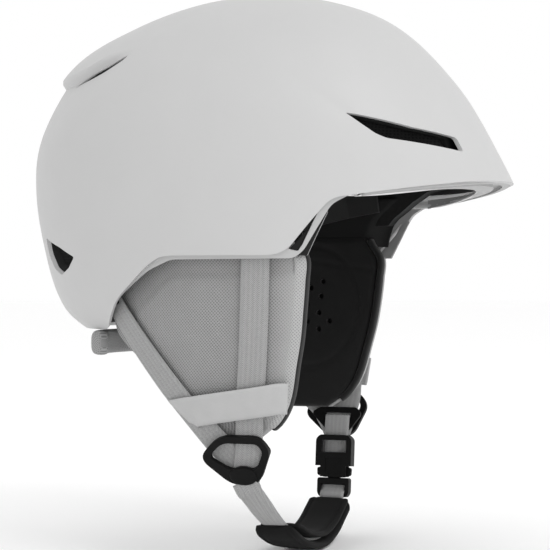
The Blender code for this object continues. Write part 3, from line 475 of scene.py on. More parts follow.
# ---- making meshes ----
def smooth_faces(bm, sharp_angle):
    """Smooth shading; edges steeper than the angle stay sharp."""
    for face in bm.faces:
        face.smooth = True
    if sharp_angle:
        for edge in bm.edges:
            if len(edge.link_faces) == 2:
                edge.smooth = edge.calc_face_angle(0) < radians(sharp_angle)


def to_object(name, bm, sharp_angle=None):
    bmesh.ops.recalc_face_normals(bm, faces=bm.faces)
    smooth_faces(bm, sharp_angle)
    mesh = bpy.data.meshes.new(name)
    bm.to_mesh(mesh)
    bm.free()
    obj = bpy.data.objects.new(name, mesh)
    bpy.context.scene.collection.objects.link(obj)
    return obj


def settle(obj, sharp_angle=None, keep=None):
    """Apply the object's modifiers, keeping only the faces of one material index if asked."""
    bpy.context.view_layer.update()
    mesh = bpy.data.meshes.new_from_object(obj.evaluated_get(bpy.context.evaluated_depsgraph_get()))
    bm = bmesh.new()
    bm.from_mesh(mesh)
    bpy.data.meshes.remove(mesh)
    if keep is not None:
        bmesh.ops.delete(bm, geom=[f for f in bm.faces if f.material_index != keep], context="FACES")
    for face in bm.faces:
        face.material_index = 0
    smooth_faces(bm, sharp_angle)
    obj.modifiers.clear()
    bm.to_mesh(obj.data)
    bm.free()
    obj.data.materials.clear()
    return obj


def boolean(obj, cutters, operation="DIFFERENCE"):
    for cutter in cutters:
        mod = obj.modifiers.new(cutter.name, "BOOLEAN")
        mod.object = cutter
        mod.operation = operation
        mod.solver = "EXACT"
    return obj


def discard(objects):
    for obj in objects:
        bpy.data.objects.remove(obj)


def carve(obj, cutters, sharp_angle):
    """Cut with each cutter in turn, then throw the cutters away."""
    settle(boolean(obj, cutters), sharp_angle)
    discard(cutters)


def round_edges(obj, width, segments=3, angle=32):
    bevel = obj.modifiers.new("Rounded edges", "BEVEL")
    bevel.width = width * MM
    bevel.segments = segments
    bevel.limit_method = "ANGLE"
    bevel.angle_limit = radians(angle)
    bevel.use_clamp_overlap = True
    obj.modifiers.new("Face weights", "WEIGHTED_NORMAL")
    return obj


def lip_row(tau, psi):
    """Angle of a grid row that bends to run along the raised lip's edge."""
    shift = through(LIP_EDGE, abs(degrees(tau))) - LIP_EDGE[-1][1]
    return psi + shift * ease(psi / 62) * (1 - ease((psi - 82) / 60))


def egg(name, radius, offset, segments, rings):
    bm = bmesh.new()
    bmesh.ops.create_uvsphere(bm, u_segments=segments, v_segments=rings, radius=1)
    for v in bm.verts:
        tau = atan2(v.co.x, -v.co.y)
        psi = lip_row(tau, degrees(acos(min(max(v.co.z, -1), 1))))
        v.co = polar(tau, psi, radius(tau, psi, offset)) * MM
    return to_object(name, bm)


def loft(name, rings, uv=None, sharp_angle=None):
    """Closed solid through rings given in mm; uv gives (across, along) of ring i, point j."""
    bm = bmesh.new()
    layer = bm.loops.layers.uv.new("cloth")
    rows = [[bm.verts.new(Vector(p) * MM) for p in ring] for ring in rings]
    count = len(rows[0])
    for i in range(len(rows) - 1):
        for j in range(count):
            k = (j + 1) % count
            face = bm.faces.new((rows[i][j], rows[i][k], rows[i + 1][k], rows[i + 1][j]))
            if uv:
                for loop, at in zip(face.loops, ((i, j), (i, k), (i + 1, k), (i + 1, j))):
                    loop[layer].uv = uv(*at)
    for i in (0, -1):
        face = bm.faces.new(rows[i])
        if uv:
            for j, loop in enumerate(face.loops):
                loop[layer].uv = uv(i % len(rows), j)
    return to_object(name, bm, sharp_angle)


def rounded(points, radius, steps=6):
    """Closed outline with its corners turned into arcs."""
    out = []
    n = len(points)
    for i in range(n):
        p, before, after = Vector(points[i]), Vector(points[i - 1]), Vector(points[(i + 1) % n])
        cut = min(radius, 0.45 * min((before - p).length, (after - p).length))
        a, b = (before - p).normalized() * cut, (after - p).normalized() * cut
        for k in range(steps + 1):
            t = k / steps
            out.append(tuple((1 - t) ** 2 * (p + a) + 2 * t * (1 - t) * p + t**2 * (p + b)))
    return out


def prism(name, outline, low, high, at=None):
    """Solid from an outline in a local frame, between two heights."""
    at = at or Matrix.Identity(4)
    rings = [[at @ (Vector((a, b, h)) * MM) / MM for a, b in outline] for h in (low, high)]
    return loft(name, rings)


def side_prism(name, outline, near, far):
    """Solid across the helmet from a (forward, up) outline."""
    return loft(name, [[(x, -a, b) for a, b in outline] for x in (near, far)])


def block(name, start, end, at):
    low = [min(a, b) for a, b in zip(start, end)]
    high = [max(a, b) for a, b in zip(start, end)]
    outline = [(low[0], low[1]), (high[0], low[1]), (high[0], high[1]), (low[0], high[1])]
    return prism(name, outline, low[2], high[2], at)


def round_ring(along, radius, sides):
    """Points of a circle square to a direction."""
    turn = along.to_track_quat("Z", "Y").to_matrix()
    return [turn @ Vector((radius * cos(t), radius * sin(t), 0))
            for t in (2 * pi * k / sides for k in range(sides))]


def rod(name, start, end, radius, sides=24):
    a, b = Vector(start), Vector(end)
    ring = round_ring(b - a, radius, sides)
    return loft(name, [[a + p for p in ring], [b + p for p in ring]])


def slab(name, outlines, low, high, at):
    """Flat outlines, holes included, between two heights of a local frame."""
    curve = bpy.data.curves.new(name + "_outline", "CURVE")
    curve.dimensions = "2D"
    curve.fill_mode = "BOTH"
    curve.extrude = (high - low) / 2 * MM
    for outline in outlines:
        spline = curve.splines.new("POLY")
        spline.points.add(len(outline) - 1)
        spline.use_cyclic_u = True
        for point, (a, b) in zip(spline.points, outline):
            point.co = (a * MM, b * MM, 0, 1)
    flat = bpy.data.objects.new(name + "_outline", curve)
    bpy.context.scene.collection.objects.link(flat)
    mesh = bpy.data.meshes.new_from_object(flat.evaluated_get(bpy.context.evaluated_depsgraph_get()))
    bpy.data.objects.remove(flat)
    bm = bmesh.new()
    bm.from_mesh(mesh)
    bmesh.ops.remove_doubles(bm, verts=bm.verts, dist=0.00001)
    bmesh.ops.dissolve_limit(bm, angle_limit=0.01, verts=bm.verts, edges=bm.edges)
    bmesh.ops.translate(bm, verts=bm.verts, vec=(0, 0, (low + high) / 2 * MM))
    bmesh.ops.transform(bm, matrix=at, verts=bm.verts)
    return to_object(name, bm)


def smooth_path(points, steps):
    """Catmull-Rom points through vectors."""
    points = [Vector(p) for p in points]
    out = []
    for i in range(len(points) - 1):
        p0 = points[i - 1] if i else points[0] * 2 - points[1]
        p1, p2 = points[i], points[i + 1]
        p3 = points[i + 2] if i + 2 < len(points) else points[-1] * 2 - points[-2]
        for k in range(steps):
            t = k / steps
            out.append(0.5 * (2 * p1 + (p2 - p0) * t + (2 * p0 - 5 * p1 + 4 * p2 - p3) * t**2
                              + (3 * p1 - p0 - 3 * p2 + p3) * t**3))
    return out + [points[-1]]


def sweep(name, centres, acrosses, section, taper=None, sharp_angle=None):
    """Carry a closed section of (across, outward) points along a route; taper scales it by place."""
    rings, lengths = [], [0]
    last = len(centres) - 1
    for i, (here, across) in enumerate(zip(centres, acrosses)):
        ahead = centres[min(i + 1, last)] - centres[max(i - 1, 0)]
        wide = (across - ahead * across.dot(ahead) / ahead.length_squared).normalized()
        out = wide.cross(ahead).normalized()
        size = taper(i / last) if taper else (1, 1)
        rings.append([here + wide * a * size[0] + out * b * size[1] for a, b in section])
        if i:
            lengths.append(lengths[-1] + (here - centres[i - 1]).length)
    return loft(name, rings, lambda i, j: (section[j][0], lengths[i]), sharp_angle)


def strap_section(width, thick, columns=12):
    """Webbing's section: flat, a little crowned, with rolled selvages."""
    top = []
    for k in range(columns + 1):
        a = -1 + 2 * k / columns
        top.append((a * width / 2, thick / 2 * (1 - abs(a) ** 8) ** 0.5 + 0.05 * thick))
    return top + [(a, -b) for a, b in reversed(top)]


def pillow_section(width, low, high, steps=28, power=3.2):
    """Section of a soft pad: a rounded oblong."""
    middle, half = (low + high) / 2, (high - low) / 2
    points = []
    for k in range(steps):
        c, s = cos(2 * pi * k / steps), sin(2 * pi * k / steps)
        points.append((width / 2 * copysign(abs(c) ** (2 / power), c),
                       middle + half * copysign(abs(s) ** (2 / power), s)))
    return points


def tube(name, points, radius, sides=10, closed=False):
    """Round cord of thread or piping along points."""
    rings = []
    n = len(points)
    for i, here in enumerate(points):
        before = points[i - 1] if closed or i else points[0]
        after = points[(i + 1) % n] if closed or i < n - 1 else points[-1]
        rings.append([here + p for p in round_ring(after - before, radius, sides)])
    if closed:
        rings.append(rings[0])
    return loft(name, rings, lambda i, j: (j * radius * 0.6, i * radius))


def two_faced(name, columns, rows, front, back, uv):
    """Closed pad from a front and a back grid of points that share their border strip."""
    bm = bmesh.new()
    layer = bm.loops.layers.uv.new("cloth")
    grids = [[[bm.verts.new(make(i / columns, j / rows) * MM) for j in range(rows + 1)]
              for i in range(columns + 1)] for make in (front, back)]
    places = {}
    for grid in grids:
        for i in range(columns + 1):
            for j in range(rows + 1):
                places[grid[i][j]] = uv(i / columns, j / rows)
        for i in range(columns):
            for j in range(rows):
                bm.faces.new((grid[i][j], grid[i + 1][j], grid[i + 1][j + 1], grid[i][j + 1]))
    border = ([(i, 0) for i in range(columns)] + [(columns, j) for j in range(rows)]
              + [(i, rows) for i in range(columns, 0, -1)] + [(0, j) for j in range(rows, 0, -1)])
    for (a, b), (c, d) in zip(border, border[1:] + border[:1]):
        bm.faces.new((grids[0][a][b], grids[0][c][d], grids[1][c][d], grids[1][a][b]))
    for face in bm.faces:
        for loop in face.loops:
            loop[layer].uv = places[loop.vert]
    return to_object(name, bm)


def dress(obj, kind, body):
    """Give a piece its material and body."""
    obj.data.materials.clear()
    obj.data.materials.append(MATERIALS[kind][0])
    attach(obj, body)
    return obj


def lay_sheet(name, kind, grid, sheet, depths, size):
    """Sheet of even thickness on the helmet, from sheet(u, v, depth)."""
    near, far = depths
    made = two_faced(name, *grid, lambda u, v: sheet(u, v, near), lambda u, v: sheet(u, v, far),
                     lambda u, v: (u * size[0], v * size[1]))
    dress(made, kind, "helmet")


def stand_in(obj, kind, *nodes):
    """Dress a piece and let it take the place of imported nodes."""
    dress(obj, kind, frame["nodes"][nodes[0]]["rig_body"])
    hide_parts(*nodes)
    return obj


# ---- shell, foam and vents ----
def vent_loop(outline, side, depth, grow=1):
    """Vent outline on the dome at a depth, grown or shrunk about its middle, corners rounded."""
    points = rounded(outline, 0.9, 4)
    mid_tau = sum(p[0] for p in points) / len(points)
    mid_psi = sum(p[1] for p in points) / len(points)
    loop = []
    for tau_deg, psi in points:
        tau = side * radians(mid_tau + (tau_deg - mid_tau) * grow)
        psi = mid_psi + (psi - mid_psi) * grow
        loop.append(polar(tau, psi, dome_radius(tau, psi, depth)))
    return loop


def vent_cutters():
    """Every vent's duct, from outside the dome down into the foam."""
    return [loft(f"{label}_{side_name(side)}_cut", [vent_loop(outline, side, -6, 1.03),
                                                    vent_loop(outline, side, VENT_DEPTH, 0.96)])
            for side in (-1, 1) for label, outline, _ in VENTS]


def build_screens(side):
    """Dark ribbed screen down each duct."""
    for label, outline, stations in VENTS:
        node = f"{label}_{side_name(side)}"
        screen = loft(node + "_mesh", [vent_loop(outline, side, *station) for station in stations])
        stand_in(screen, "screen", node)


def dome_skin(name, radius, offset, cutters, wall, keepers=()):
    """Sheet of a dome surface, cut to its outline and thickened inwards."""
    skin = egg(name, radius, offset, 216, 200)
    for obj in (skin, *cutters, *keepers):
        for _ in range(2):
            obj.data.materials.append(MATERIALS["shell"][0])
    for obj in (*cutters, *keepers):
        for face in obj.data.polygons:
            face.material_index = 1
    boolean(skin, cutters)
    boolean(skin, keepers, "INTERSECT")
    settle(skin, keep=0)
    discard((*cutters, *keepers))
    solid = skin.modifiers.new("Wall", "SOLIDIFY")
    solid.thickness = wall * MM
    solid.offset = -1
    return skin


def rim_cutter():
    outline = rounded(RIM[1:-1], 5)
    return side_prism("rim_cut", [RIM[0]] + outline[7:-7] + [RIM[-1], (-160, -260), (150, -260)],
                      -150, 150)


def build_shell():
    shell = dome_skin("shell", dome_radius, 0, [rim_cutter()], SHELL_WALL)
    settle(round_edges(shell, 0.7, 3, 60))
    carve(shell, vent_cutters(), 40)
    stand_in(shell, "shell", "outer_shell")


def build_foam():
    foam = egg("foam", foam_radius, FOAM_OFFSET, 120, 90)
    cutters = [egg("cavity_cut", cavity_radius, 0, 72, 54),
               side_prism("foam_cut", FOAM_RIM + [(-160, -260), (150, -260)], -150, 150),
               prism("dial_cut", [(-50, 60), (50, 60), (50, 113), (-50, 113)], -170, -118)]
    carve(foam, cutters + vent_cutters(), 35)
    stand_in(foam, "foam", "foam_liner")


def under_brim(forward):
    """Height of the brim's underside at a distance forward."""
    return through([(70, -80.2), (115, -73.6), (134, -70.2)], forward)


def build_brim():
    """Underside of the brim, with a shallow channel along it."""
    brim = egg("brim_lining", dome_radius, FOAM_OFFSET, 144, 120)
    keep = [(70, -71), (92, -68), (134, -64), (150, -63), (150, -72), (134, -70.2), (115, -73.6),
            (70, -80.2)]
    keeper = side_prism("brim_keep", keep, -150, 150)
    back = egg("brim_back", foam_radius, FOAM_OFFSET - GAP, 96, 72)
    rings = []
    for k in range(41):
        tau = radians(-50 + 100 * k / 40)
        psi = 97
        inner, outer = foam_radius(tau, psi, FOAM_OFFSET), dome_radius(tau, psi, FOAM_OFFSET)
        half = 2.4 * sin(pi * (0.08 + 0.84 * k / 40)) ** 0.4
        middle = inner + 0.56 * (outer - inner)
        ring = []
        for out, up in ((-1, -4), (1, -4), (1, 1.9), (0.6, 2.4), (-0.6, 2.4), (-1, 1.9)):
            reach = (middle + out * half) * sin(radians(psi))
            ring.append(turned(tau, reach, under_brim(reach * cos(tau)) + up))
        rings.append(ring)
    channel = loft("brim_channel", rings)
    boolean(brim, [keeper], "INTERSECT")
    boolean(brim, [back, channel])
    settle(brim, 35)
    discard((keeper, back, channel))
    stand_in(round_edges(brim, 0.35, 2, 45), "trim", "brim_underside")


def build_brim_wall():
    """Inner wall of the brim underside, with a groove along it. Its plastic is painted far paler than the
    trim: painted light that stands in for light reaching the brim's shaded inside.
    """
    def sheet(u, v, depth):
        tau = radians(-60 + 120 * u)
        reach = foam_radius(tau, 97, FOAM_OFFSET - GAP) * sin(radians(97))
        bottom = under_brim(reach * cos(tau))
        groove = 0.9 * exp(-((v - 0.45) / 0.16) ** 2)
        reach += depth + groove - 0.9
        return turned(tau, reach, bottom + 0.3 - (bottom + 71) * v)

    lay_sheet("brim_wall", "wall", (120, 14), sheet, (0, 1.2), (220, 8))


def build_edge_trim(side):
    """Moulded strip that closes the foam's lower edge inside the shell."""
    outline = [(a, b - GAP) for a, b in TRIM_TOP] + list(reversed(TRIM_BOTTOM))
    near, far = side * TRIM_START_X, side * 150
    keeper = side_prism("trim_keep", rounded(outline, 3, 3), near, far)
    opening = side_prism("trim_gap", rounded(TRIM_GAP, 0.8, 3), near, far)
    trim = dome_skin(f"edge_strip_{side_name(side)}", dome_radius, FOAM_OFFSET, [opening], TRIM_WALL,
                     [keeper])
    stand_in(round_edges(trim, 0.6, 3, 50), "trim", f"edge_trim_{side_name(side)}")


def build_gap_floor(side):
    """Black floor of the trim's open corner, backed by the trim's plastic on the inside."""
    def sheet(u, v, depth):
        (a, b), (c, d), (e, f), (g, h) = GAP_FLOOR
        forward = (a + (c - a) * u) * (1 - v) + (e + (g - e) * u) * v
        up = (b + (d - b) * u) * (1 - v) + (f + (h - f) * u) * v
        return Vector((side * surface_x(dome_radius, forward, up, FOAM_OFFSET + depth), -forward, up))

    for label, kind, depths in (("floor", "liner", (0.9, 1.5)), ("back", "trim", (1.55, TRIM_WALL + 0.2))):
        lay_sheet(f"trim_gap_{label}_{side_name(side)}", kind, (8, 24), sheet, depths, (10, 25))


def build_skirt(side):
    """Lining cloth from the foam's edge to the ear pad's top, wrapped round the temple's edge."""
    def sheet(u, v, depth):
        up = SKIRT_TOP + (SKIRT_BOTTOM - SKIRT_TOP) * v
        front = through(TEMPLE_LINE, -up)
        forward = -54 + (front + 54) * u
        inner = surface_x(cavity_radius, forward, up, 0.6)
        low = ear_face(forward, SKIRT_BOTTOM) - EAR_THICK - 2.5
        x = inner + (low - inner) * ease(v)
        wrap = ease((u - 0.86) / 0.14)
        x += wrap * (max(surface_x(dome_radius, forward, up, FOAM_OFFSET + TRIM_WALL + 0.4) - x, 0))
        return Vector((side * (x - depth), -forward, up))

    lay_sheet(f"ear_skirt_{side_name(side)}", "liner", (90, 20), sheet, (0, 1.2), (100, 30))


def build_brow_wrap():
    """Lining cloth behind the brim, over the foam's front edge."""
    def sheet(u, v, depth):
        tau = radians(-56 + 112 * u)
        up = -66 - 6.5 * v
        reach = foam_radius(tau, 95, FOAM_OFFSET + 0.4 + depth) * sin(radians(95))
        return turned(tau, reach, up)

    lay_sheet("brow_wrap", "liner", (96, 8), sheet, (0, 1.6), (200, 12))


# ---- comfort pads ----
def squircle(a, b, power=6):
    """Pull a point of the square on to a rounded square, and its distance out from the middle."""
    reach = max(abs(a), abs(b))
    norm = (abs(a) ** power + abs(b) ** power) ** (1 / power)
    pull = reach / norm if norm else 1
    return a * pull, b * pull, reach


def crowned_pad(name, body_node, place, gap, thick, size, channels):
    """Crowned pad with sewn channels; place(a, b, depth) gives points below the cavity's face."""
    columns, rows = int(size[0] / 1.1), int(size[1] / 1.1)

    def face(u, v, filled):
        a, b, reach = squircle(2 * u - 1, 2 * v - 1)
        height = 0.12 + 0.88 * max(1 - reach ** 5, 0) ** 0.5
        for axis, at in channels:
            away = ((a, b)[axis] - at) * size[axis] / 2
            height *= 1 - 0.30 * exp(-(away / 1.5) ** 2)
        return place(a, b, gap + (thick * height if filled else 0))

    pad = two_faced(name, columns, rows, lambda u, v: face(u, v, False), lambda u, v: face(u, v, True),
                    lambda u, v: (u * size[0], v * size[1]))
    stand_in(pad, "liner", body_node)
    ring = []
    for k in range(120):
        t = 2 * pi * k / 120
        c, s = cos(t), sin(t)
        most = max(abs(c), abs(s))
        a, b, _ = squircle(c / most, s / most)
        ring.append(place(a, b, gap + 0.9))
    piping = tube(name + "_piping", ring, 0.8, 8, closed=True)
    dress(piping, "liner", frame["nodes"][body_node]["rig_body"])


def build_cavity_pad(node, tau_range, psi_range, thick, size, channels):
    def place(a, b, depth):
        tau, psi = (sum(ends) / 2 + at * (ends[1] - ends[0]) / 2
                    for at, ends in ((a, tau_range), (b, psi_range)))
        tau = radians(tau)
        return polar(tau, psi, cavity_radius(tau, psi, depth))

    crowned_pad(node + "_cushion", node, place, PAD_GAP, thick, size, channels)


def build_crown_pad():
    """Round pad under the crown; the middle of its underside is the origin."""
    def place(a, b, depth):
        x, y = a * 37.5, b * 50.5 - 1
        tau = atan2(x, -y)
        psi = halving(0, 80, lambda angle: cavity_radius(tau, angle, CROWN_GAP)
                      * sin(radians(angle)) < hypot(x, y))
        return polar(tau, psi, cavity_radius(tau, psi, depth))

    crowned_pad("crown_cushion", "crown_pad", place, CROWN_GAP, CROWN_PAD, (76, 100),
                ((0, -0.4), (0, 0.4), (1, -0.45), (1, 0.45)))


def build_pads():
    build_crown_pad()
    build_cavity_pad("brow_pad", (-42, 42), (66, 91), 7, (140, 42), ((0, -0.5), (0, 0), (0, 0.5)))
    for side in (-1, 1):
        word = side_name(side)
        build_cavity_pad(f"temple_pad_{word}", (side * 52, side * 88), (56, 88), 5.5, (52, 46),
                         ((0, 0),))
        build_cavity_pad(f"side_pad_{word}", (side * 98, side * 132), (58, 94), 6, (56, 52),
                         ((1, 0),))
    build_cavity_pad("rear_pad", (145, 215), (62, 100), 7, (130, 66), ((0, -0.4), (0, 0.4), (1, 0)))


# ---- dial and neck roll ----
def build_dial():
    """Adjuster knob: rounded grips and a dished face towards the head."""
    rings = []
    for y, scale in ((109.9, 0.80), (109.4, 0.95), (108.2, 1), (101.8, 1), (100.6, 0.95), (100.1, 0.86),
                     (101.2, 0.70), (101.6, 0.3)):
        ring = []
        for k in range(192):
            a = 2 * pi * k / 192
            r = (DIAL_R - 0.55 + 0.5 * copysign(abs(cos(24 * a / 2)) ** 0.5,
                                                    cos(24 * a / 2))) * scale
            ring.append((r * cos(a), y, DIAL_Z + r * sin(a)))
        rings.append(ring)
    stand_in(loft("adjuster_knob", rings, sharp_angle=50), "clip", "fit_dial")


def build_neck_roll():
    half = [(62, 78), (54, 84), (43, 87.5), (28, 88), (12, 85), (0, 84)]
    route = [(-x, y, -157.3) for x, y in half] + [(x, y, -157.3) for x, y in reversed(half[:-1])]
    centres = smooth_path(route, 6)
    up = [Vector((0, 0, 1))] * len(centres)

    def taper(t):
        close = min(t, 1 - t) / 0.06
        size = 0.35 + 0.65 * min(close, 1) ** 0.5
        return size, size

    roll = sweep("neck_roll", centres, up, pillow_section(13.4, -5, 5), taper)
    stand_in(roll, "mesh", "neck_pad")
    for z, word in ((-5.6, "lower"), (5.2, "upper")):
        bead_points = [p + Vector((0, 0, z)) + (Vector((p.x, p.y, 0)).normalized() * 2)
                       for p in centres[2:-2]]
        bead = tube(f"neck_roll_{word}_bead", bead_points, 0.9, 8)
        dress(bead, "edge", "helmet")


# ---- ear pads ----
def ear_face(forward, up):
    bend = EAR_BEND[0] * max(forward - 5, 0) ** 2 + EAR_BEND[1] * min(forward, 0) ** 2
    return through(EAR_FACE, up) - bend


def ear_place(side, u, v, inset):
    """(forward, up) of a place on the pad: u from rear to front, v from top to bottom."""
    up = EAR_TOP + v * (EAR_BOTTOM[side] - EAR_TOP)
    front = through(EAR_FRONT_EDGE, v) - inset
    rear = through(EAR_REAR_EDGE, v) + inset
    return rear + u * (front - rear), up, front - rear


def at_ear(side, forward, up, depth):
    return Vector((side * (ear_face(forward, up) - depth), -forward, up))


def edge_drop(u, v, width, height, radius):
    """How far a pad's face has rounded away near its edge."""
    near = min(u * width, (1 - u) * width, v * height, (1 - v) * height)
    short = radius - min(near, radius)
    return radius - sqrt(max(radius**2 - short**2, 0))


def rim_distance(forward, up):
    """Distance below the shell's edge along the ear."""
    return min(to_segment((forward, up), a, b)[0] for a, b in zip(RIM[6:15], RIM[7:16]))


def build_ear_outer(side):
    def front(u, v):
        forward, up, width = ear_place(side, u, v, 0)
        drop = 0.75 * edge_drop(u, v, width, 105, 4)
        panel = 0.9 * (1 - ease((rim_distance(forward, up) - 9) / 3))
        return at_ear(side, forward, up, max(drop, panel) + 0.1)

    def back(u, v):
        forward, up, width = ear_place(side, u, v, 0)
        return at_ear(side, forward, up, EAR_THICK - 0.6 * edge_drop(u, v, width, 105, 3))

    word = side_name(side)
    def woven(u, v):
        forward, up, _ = ear_place(side, u, v, 0)
        return through(EAR_FRONT_EDGE, v) - forward, up

    pad = two_faced(f"ear_cover_{word}", 72, 76, front, back, woven)
    stand_in(pad, "ear", f"ear_pad_{word}")


def build_ear_lining(side):
    """Inner face of the ear pad: a raised ring round the ear, holes to hear through, an arc seam."""
    shift = EAR_BOTTOM[side] - EAR_BOTTOM[-1]
    start = EAR_THICK + GAP + 0.2

    def inner(u, v):
        forward, up, width = ear_place(side, u, v, 2)
        drop = edge_drop(u, v, width, 101, 4.5)
        away = hypot(forward + 2, (up + 142 - shift / 2) * 0.85)
        seam = 1.3 * exp(-((away - 31) / 1.5) ** 2)
        hollow = 1 * (1 - ease((away - 16) / 8))
        fold = 0.8 * exp(-((up + 112 + 0.12 * forward) / 1.3) ** 2)
        return at_ear(side, forward, up, start + LINING_THICK - max(drop, seam, hollow, fold))

    def outer(u, v):
        forward, up, _ = ear_place(side, u, v, 2)
        return at_ear(side, forward, up, start)

    word = side_name(side)
    lining = two_faced(f"ear_inner_{word}", 72, 80, outer, inner,
                       lambda u, v: ear_place(side, u, v, 2)[:2])
    holes = []
    for forward, up in ((5, -124), (-2.5, -128), (4, -133), (-4.5, -138), (3, -143),
                        (-4, -148.5), (3.5, -153), (10, -148)):
        face = ear_face(forward, up)
        holes.append(rod(f"hole_{len(holes)}", (side * (face - start - 1.2), -forward, up),
                         (side * (face - start - 12), -forward, up), 1.7, 16))
    carve(lining, holes, 50)
    stand_in(lining, "liner", f"ear_lining_{word}")


def build_ear_edge(side):
    """Soft binding turned over the pad's front edge."""
    skin = [(-0.4, -4.2), (-0.05, -3.4), (0.05, -2.4), (-0.2, -1), (-1, 0.2), (-2.6, 1),
            (-4.4, 1), (-5.4, 0.4)]
    inside = [(-5, -0.2), (-3.8, 0.2), (-2, -0.4), (-1.1, -1.4), (-0.7, -2.6), (-0.7, -4)]
    rings = []
    for k in range(49):
        v = 0.12 + 0.83 * k / 48
        forward, up, _ = ear_place(side, 1, v, 0)
        ring = []
        for out, ahead in skin + inside:
            face = ear_face(forward + min(ahead, 0), up)
            ring.append((side * (face + out), -(forward + ahead), up))
        rings.append(ring)
    word = side_name(side)
    edge = loft(f"ear_edge_{word}", rings, lambda i, j: (j * 1.4, i * 1.9))
    stand_in(edge, "edge", f"ear_binding_{word}")
    centres = []
    for k in range(49):
        forward, up, _ = ear_place(side, 1, 0.02 + 0.93 * k / 48, 0)
        centres.append(at_ear(side, forward, up, 0) + Vector((-side * 9.2, 0.5, 0)))
    roll = sweep(f"ear_roll_{word}", centres, [Vector((1, 0, 0))] * 49,
                 pillow_section(8.4, -1.9, 1.9, 20, 2.4))
    dress(roll, "liner", "helmet")


# ---- harness ----
def on_divider(side, forward, up, out, across):
    at = local_frame(DIVIDER_AT[side], DIVIDER_LEAN, side)
    here = at @ (Vector((forward, up, out)) * MM) / MM
    beside = at @ (Vector((forward + across[0], up + across[1], out)) * MM) / MM
    return here, beside - here


def on_pad(side, forward, up, lift, across):
    a, b = across
    here = at_ear(side, forward, up, -lift)
    return here, at_ear(side, forward + a, up + b, -lift) - here


def web(name, stations, section, kind, node):
    centres, acrosses = zip(*stations)
    made = sweep(name, smooth_path(centres, 5), smooth_path(acrosses, 5), section)
    return stand_in(made, kind, node)


def build_harness(side):
    word = side_name(side)
    drop = EAR_BOTTOM[side] - EAR_BOTTOM[-1]
    middle = DIVIDER_AT[side][1]
    section = strap_section(WEB, WEB_THICK)

    low = (middle + 5, -193 + drop)
    front = []
    for k in range(8):
        t = k / 7
        forward, up = 20 + t * t * (low[0] - 20), -98 + t * (low[1] + 98)
        front.append(on_pad(side, forward, up, FRONT_LIFT, (1, 0)))
    front += [on_divider(side, a, b, 0.6, (1, 0)) for a, b in ((4, 8), (2, -3), (0, -13))]
    web(f"front_web_{word}", front, section, "web", f"front_strap_{word}")

    top, low = (-67.5, -136.8), (middle - 21, -201 + drop)
    rear = []
    for k in range(-1, 6):
        t = k / 12 if k < 0 else k / 6
        forward, up = top[0] + t * (low[0] - top[0]), top[1] + t * (low[1] - top[1])
        rear.append(on_pad(side, forward, up, REAR_LIFT, (0.75, 0.66)))
    ends = ((-13.5, 5.5, (0.8, 0.6)), (-6, -4, (0.9, 0.4)), (-1, -13, (1, 0.1)))
    rear += [on_divider(side, a, b, -1.2, across) for a, b, across in ends]
    web(f"rear_web_{word}", rear, section, "web", f"rear_strap_{word}")


def build_pad_band(side):
    """Keeper band over both straps, turned round the pad's front edge."""
    drop = (EAR_BOTTOM[side] - EAR_BOTTOM[-1]) * 0.8
    outer = [(-31.5, -194.4), (-24, -192.9), (-14, -191), (-4, -189.3), (12, -186.8),
             (22, -185.2)]
    turn = [(28.5, 4.9), (33.2, 4.2)]
    route = [(a, b, BAND_LIFT) for a, b in outer] + [(a, -184, lift) for a, lift in turn]
    stations = [on_pad(side, forward, up + drop, lift, (0, 1)) for forward, up, lift in route]
    word = side_name(side)
    band = web(f"keeper_band_{word}", stations, strap_section(17, 1), "patch", f"pad_band_{word}")
    for v in band.data.vertices:
        forward, up = -v.co.y / MM, v.co.z / MM - drop
        v.co.y += 0.66 * ease((-16 - forward) / 12) * (up + 187) * MM


def build_divider(side):
    word = side_name(side)
    at = local_frame(DIVIDER_AT[side], DIVIDER_LEAN, side)
    ring = slab(f"clamp_ring_{word}", [rounded(CLAMP_OUTLINE, 7, 10), rounded(CLAMP_WINDOW, 4, 8)],
                *CLAMP_LAYER, at)
    stand_in(round_edges(ring, 0.9), "clip", f"divider_clamp_{word}")
    rings = []
    for rise, size in ((-2.3, 0.96), (-0.6, 1), (0.4, 0.98), (0.9, 0.9), (1.1, 0.75), (0.9, 0.4)):
        oblong = [(7.7 * size * cos(a), -9.8 + 5.2 * size * sin(a), CLAMP_LAYER[1] + rise)
                  for a in (2 * pi * k / 48 for k in range(48))]
        rings.append([at @ (Vector(p) * MM) / MM for p in oblong])
    cap = loft(f"clamp_thumb_pad_{word}", rings)
    dress(cap, "clip", f"divider_clamp_{word}")
    top = PLATE_OUTLINE if side < 0 else [(a, b - 4.2 if b > 0 else b) for a, b in PLATE_OUTLINE]
    slot = [(-7.9, -4.5), (7.9, -4.5), (7.9, -1.5), (-7.9, -1.5)]
    plate = slab(f"clamp_plate_{word}", [rounded(top, 4, 8), rounded(slot, 0.8, 3)], *PLATE_LAYER, at)
    stand_in(round_edges(plate, 0.5, 2), "clip", f"divider_plate_{word}")


# ---- chin loop, buckle ----
def route_point(t):
    last = len(CHIN_ROUTE) - 1
    return Vector([through([(k / last, p[axis]) for k, p in enumerate(CHIN_ROUTE)], t) for axis in range(3)])


def chin_sweep(name, start, end, count, section, taper=None):
    points = [route_point(start + (end - start) * k / (count - 1)) for k in range(count)]
    centres = [Vector((p.x, -p.y, p.z)) for p in points]
    return sweep(name, centres, [Vector((0, -1, 0))] * count, section, taper)


def pad_taper(t):
    """Rounded ends for a chin pad."""
    close = min(min(t, 1 - t) / 0.06, 1)
    return 0.86 + 0.14 * close ** 0.5, 0.55 + 0.45 * close ** 0.5


